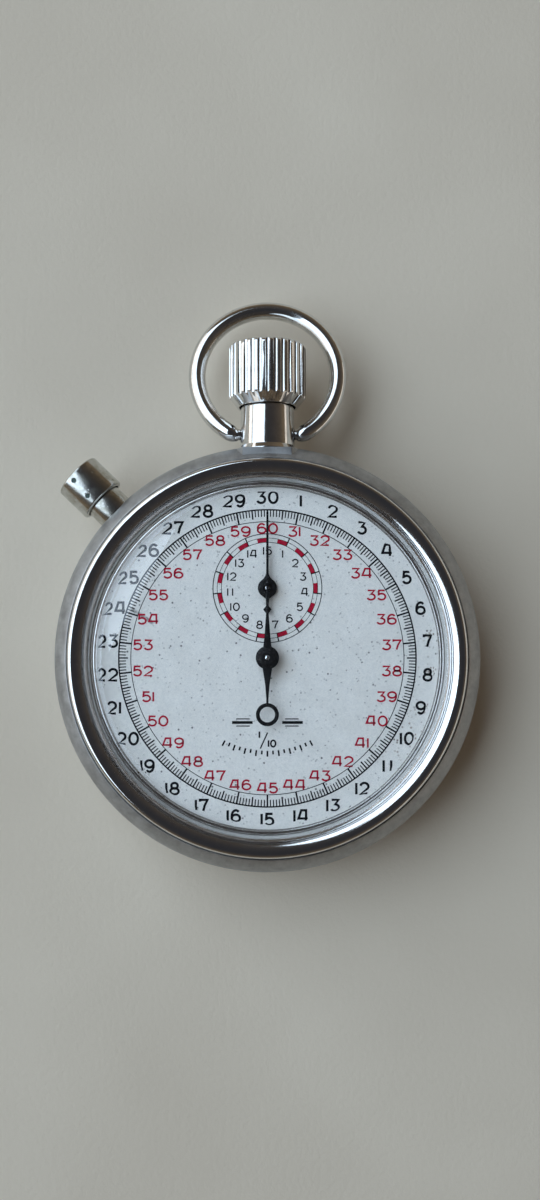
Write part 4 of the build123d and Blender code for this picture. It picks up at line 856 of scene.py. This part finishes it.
def centre_marks(black):
    """The 1/10 mark, and a plain ornament above it and below it."""
    height, pen = 0.96, 0.2
    marks = Print()
    marks.number(1, (-0.95, -9.1), height, pen)
    marks.stroke([(-0.85, -10.75), (0.02, -8.85)], 0.15)
    marks.number(10, (0.55, -10.15), height, pen)

    bar_y, bar_width, line_width, line_shift = -7.65, 0.34, 0.13, 0.42
    for side in (-1, 1):
        marks.stroke([(side * 4.2, bar_y), (side * 1.75, bar_y)], bar_width)
        for shift in (-line_shift, line_shift):
            marks.stroke([(side * 3.7, bar_y + shift), (side * 2.1, bar_y + shift)], line_width)

    dash_inner, short_dash, long_dash, dash_turn, dash_width = 11.0, 11.45, 11.7, 3.4, 0.2
    for number in range(-8, 9):
        outer = long_dash if number % 2 == 0 else short_dash
        marks.tick(dash_inner, outer, 180 + dash_turn * number, dash_width)
    marks.placed("centre_marks", black)


# ---- hands ----
def flat_hand(name, outlines, low, high):
    """A flat hand from outlines, the later ones holes, with eased edges."""
    easing = 0.03
    curve = bpy.data.curves.new(name, "CURVE")
    curve.dimensions = "2D"
    curve.fill_mode = "BOTH"
    curve.extrude = ((high - low) / 2 - easing) * MM
    curve.bevel_depth = easing * MM
    curve.bevel_resolution = 1
    curve.offset = -easing * MM
    for outline in outlines:
        spline = curve.splines.new("POLY")
        spline.points.add(len(outline) - 1)
        for point, (x, y) in zip(spline.points, outline):
            point.co = (x * MM, y * MM, 0, 1)
        spline.use_cyclic_u = True
    made = bpy.data.objects.new(name, curve)
    bpy.context.scene.collection.objects.link(made)
    graph = bpy.context.evaluated_depsgraph_get()
    mesh = bpy.data.meshes.new_from_object(made.evaluated_get(graph))
    bpy.data.objects.remove(made)
    mesh.transform(Matrix.Translation((0, 0, (low + high) / 2 * MM)))
    closed_up(mesh)
    shade(mesh, HAND_CREASE)
    hand = bpy.data.objects.new(name, mesh)
    bpy.context.scene.collection.objects.link(hand)
    return hand


def mirrored(side):
    """A right side of an outline, from top to bottom, with its left side after it."""
    return side + [(-x, y) for x, y in side[::-1] if x > TINY]


def joined(*objects):
    """The objects as one."""
    first = objects[0]
    work = bmesh.new()
    for each in objects:
        work.from_mesh(each.data)
    work.to_mesh(first.data)
    work.free()
    for other in objects[1:]:
        bpy.data.objects.remove(other)
    shade(first.data, HAND_CREASE)
    return first


def hub_side(radius, first, last):
    """The right side of a round hub, between two directions in degrees from +X."""
    start, end, steps = math.radians(first), math.radians(last), 20
    return [(radius * math.cos(start + (end - start) * s / steps),
             radius * math.sin(start + (end - start) * s / steps)) for s in range(steps + 1)]


def sweep_hand(black):
    """The centre hand: a slim needle, a round hub and a tail with a ring."""
    hub_r, ring_y, ring_r, hole_r, tail_half = 1.38, -6.7, 1.36, 0.9, 0.14
    low, high, steps = 12.62, 12.78, 24
    side = [(0.06, 17.42), (0.13, 17.2), (0.16, 5.3), (0.34, 2.6)] + hub_side(hub_r, 69, -66)
    side += [(0.26, -3.2), (0.13, -4.9)]
    top = math.acos(tail_half / ring_r)
    side += [(ring_r * math.cos(top - (top + math.pi / 2) * s / steps),
              ring_y + ring_r * math.sin(top - (top + math.pi / 2) * s / steps))
             for s in range(steps + 1)]
    hole = ellipse((0, ring_y), (hole_r, hole_r), 0, 352.5, 47)
    plate = flat_hand("sweep_needle", [mirrored(side), hole], low, high)
    pipe = [(0, 12.5), (0.7, 12.5), (0.7, high), (1.02, high)]
    pipe += arc((1.02, 12.80), (0.8, 12.95), (0.42, 13.0), 6)
    pipe += arc((0.38, 13.0), (0.3, 12.93), (0, 12.9), 4)
    hand = joined(plate, lathe("sweep_boss", pipe, steps=64))
    return finished(hand, "sweep", "hand_black", black, "sweep_hand")


def minute_hand(black):
    """The register's hand: a teardrop hub, a thin needle and a diamond tail."""
    low, high = 11.95, 12.09
    hub = hub_side(1.14, 52, -60)
    flank = arc((0.14, 1.85), (0.33, 1.3), hub[0], 6)[:-1]
    side = [(0.03, 4.9), (0.07, 4.7), (0.12, 2.6)] + flank + hub
    side += [(0.2, -1.3), (0.17, -2.15), (0.5, -2.57), (0.17, -3.0), (0.05, -3.2)]
    plate = flat_hand("minute_needle", [mirrored(side)], low, high)
    boss = [(0, 11.8), (0.56, 11.8), (0.56, 12.2), (0.44, 12.2), (0.4, 12.15), (0, 12.15)]
    hand = joined(plate, lathe("minute_boss", softened(boss, 0.04), steps=64))
    hand.data.transform(Matrix.Translation((MINUTE_AT[0] * MM, MINUTE_AT[1] * MM, 0)))
    return finished(hand, "minute", "hand_black", black, "minute_hand")


def arbor_end(name, body, at, radius, low, metal):
    """The polished end of an arbor, showing in the middle of its hand."""
    edge, top, sides = low + 0.03, low + 0.08, 48
    outline = [(0, low), (radius, low)]
    outline += arc((radius, edge), (radius * 0.6, low + 0.06), (0, top), 6)
    end = lathe(name, outline, Matrix.Translation((*at, 0)), sides)
    finished(end, body, "steel", metal)


def pressed_spring(node, metal):
    """A coil spring: a copy of its CAD node's mesh, shown in the node's place in the case's body.
    """
    shown = frame["nodes"][node]
    spring = bpy.data.objects.new("coiled_" + node, shown.data.copy())
    spring.matrix_world = shown.matrix_world
    bpy.context.scene.collection.objects.link(spring)
    finished(spring, "case", "spring_steel", metal, node)
    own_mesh(spring)


# ---- the rest of the CAD nodes ----
def dress_movement():
    """Gives every CAD node that is still shown its slot's material."""
    by_slot = {
        "plate_metal": movement_metal(
            "nickel_plate", (0.72, 0.69, 0.62, 1), 0.22, 0.36, (8, 0.4, 1)),
        "wheel_brass": movement_metal("brass", (0.80, 0.61, 0.27, 1), 0.2, 0.34, (3, 3, 0.5)),
        "jewel": ruby(),
        "spring_steel": movement_metal("blued_steel", (0.16, 0.2, 0.38, 1), 0.2, 0.3, (4, 4, 4)),
        "steel": movement_metal("bright_steel", (0.66, 0.66, 0.67, 1), 0.14, 0.26, (6, 6, 1)),
        "dial_face": dial_paint(),
    }
    blued = by_slot["spring_steel"]
    pressed_spring("crown_spring", blued)
    pressed_spring("pusher_spring", blued)
    slots = {s["node"]: s["material_slot"] for s in frame["record"]["subparts"]}
    for node, shown in frame["nodes"].items():
        if slots[node] in by_slot:
            for place in shown.material_slots:
                place.material = by_slot[slots[node]]


# ---- room, lamps and camera ----
def lamp(name, azimuth, elevation, size, colour, power):
    """A soft rectangular lamp that faces the dial; metres, watts, and degrees from +X."""
    away = 1.5
    data = bpy.data.lights.new(name, "AREA")
    data.shape = "RECTANGLE"
    data.size, data.size_y = size
    data.color = colour
    data.energy = power
    made = bpy.data.objects.new(name, data)
    bpy.context.scene.collection.objects.link(made)
    turn, rise = math.radians(azimuth), math.radians(elevation)
    way = Vector((math.cos(turn) * math.cos(rise), math.sin(turn) * math.cos(rise),
                  math.sin(rise)))
    made.location = way * away + Vector((0, 0, DIAL_Z * MM))
    made.rotation_mode = "QUATERNION"
    made.rotation_quaternion = way.to_track_quat("Z", "Y")


def room():
    """A dim warm room to be reflected, with a plain pale backdrop behind the floor."""
    horizon, wall = (0.22, 0.165, 0.105, 1), (0.085, 0.068, 0.052, 1)
    ceiling, pale = (0.03, 0.03, 0.034, 1), (0.42, 0.41, 0.38, 1)
    world = bpy.data.worlds.new("room")
    bpy.context.scene.world = world
    world.use_nodes = True
    nodes, links = world.node_tree.nodes, world.node_tree.links
    way = nodes.new("ShaderNodeTexCoord").outputs["Generated"]
    parts = nodes.new("ShaderNodeSeparateXYZ")
    links.new(way, parts.inputs["Vector"])
    ramp = nodes.new("ShaderNodeValToRGB")
    links.new(parts.outputs["Z"], ramp.inputs["Fac"])
    stops = ramp.color_ramp.elements
    stops[0].position, stops[0].color = 0.0, horizon
    stops[1].position, stops[1].color = 1.0, ceiling
    middle = stops.new(0.5)
    middle.color = wall
    links.new(ramp.outputs["Color"], nodes["Background"].inputs["Color"])
    backdrop = nodes.new("ShaderNodeBackground")
    backdrop.inputs["Color"].default_value = pale
    mix = nodes.new("ShaderNodeMixShader")
    links.new(nodes.new("ShaderNodeLightPath").outputs["Is Camera Ray"], mix.inputs[0])
    links.new(nodes["Background"].outputs[0], mix.inputs[1])
    links.new(backdrop.outputs[0], mix.inputs[2])
    links.new(mix.outputs[0], nodes["World Output"].inputs["Surface"])


def floor():
    """A plain pale floor under the stopwatch."""
    half, z = 4000.0, -0.02
    corners = [(-half, -half, z), (half, -half, z), (half, half, z), (-half, half, z)]
    made = new_object("floor", corners, [[0, 1, 2, 3]])
    made.data.materials.append(pale_cloth())


def camera():
    """A hand-held view from above, a little towards the bottom of the dial."""
    stands, aim = Vector((0.17, -3.37, 157.77)) * MM, Vector((0.31, -0.2, 10.0)) * MM
    data = bpy.data.cameras.new("camera")
    data.lens = 36.83
    data.sensor_width = 36.0
    data.shift_y = 0.05
    data.clip_start = 0.01
    made = bpy.data.objects.new("camera", data)
    bpy.context.scene.collection.objects.link(made)
    made.location = stands
    back = (stands - aim).normalized()
    right = Vector((0, 1, 0)).cross(back).normalized()
    made.rotation_mode = "QUATERNION"
    made.rotation_quaternion = Matrix(
        (right, back.cross(right), back)).transposed().to_quaternion()
    bpy.context.scene.camera = made


def build():
    """The whole scene: what it stands on and is lit by, then the pieces in order."""
    camera()
    room()
    floor()
    daylight, sky, warm = (1.0, 0.99, 0.97), (0.70, 0.85, 1.0), (1.0, 0.95, 0.88)
    lamp("window_low", 160, 11, size=(2.25, 0.39), colour=daylight, power=4.0)
    lamp("window_high", 160, 46, size=(2.55, 1.35), colour=sky, power=24.0)
    lamp("skylight", 152, 70.3, size=(0.60, 0.105), colour=(0.70, 0.84, 1.0), power=0.5)
    lamp("right_fill", -8, 4, size=(2.7, 0.27), colour=warm, power=1.8)
    bpy.context.scene.view_settings.view_transform = "Standard"
    satin, bright, worn = satin_case(), bright_plate(), worn_plate()
    black = ink("black_ink", (0.004, 0.004, 0.006, 1), (0.02, 0.02, 0.023, 1))
    red = ink("red_ink", (0.40, 0.004, 0.026, 1), (0.48, 0.025, 0.05, 1))
    lacquer = black_lacquer()
    case_band(satin)
    case_back(satin)
    bezel(bright)
    crystal(clear_dome())
    neck(bright)
    crown(bright)
    pusher(worn)
    bow(bright)
    seconds_track(black)
    second_numerals(black, red)
    minute_register(black, red)
    centre_marks(black)
    sweep_hand(lacquer)
    minute_hand(lacquer)
    arbor_end("sweep_arbor_end", "sweep", (0, 0), 0.26, 12.9, bright)
    arbor_end("minute_arbor_end", "minute", MINUTE_AT, 0.24, 12.14, bright)
    dress_movement()


build()
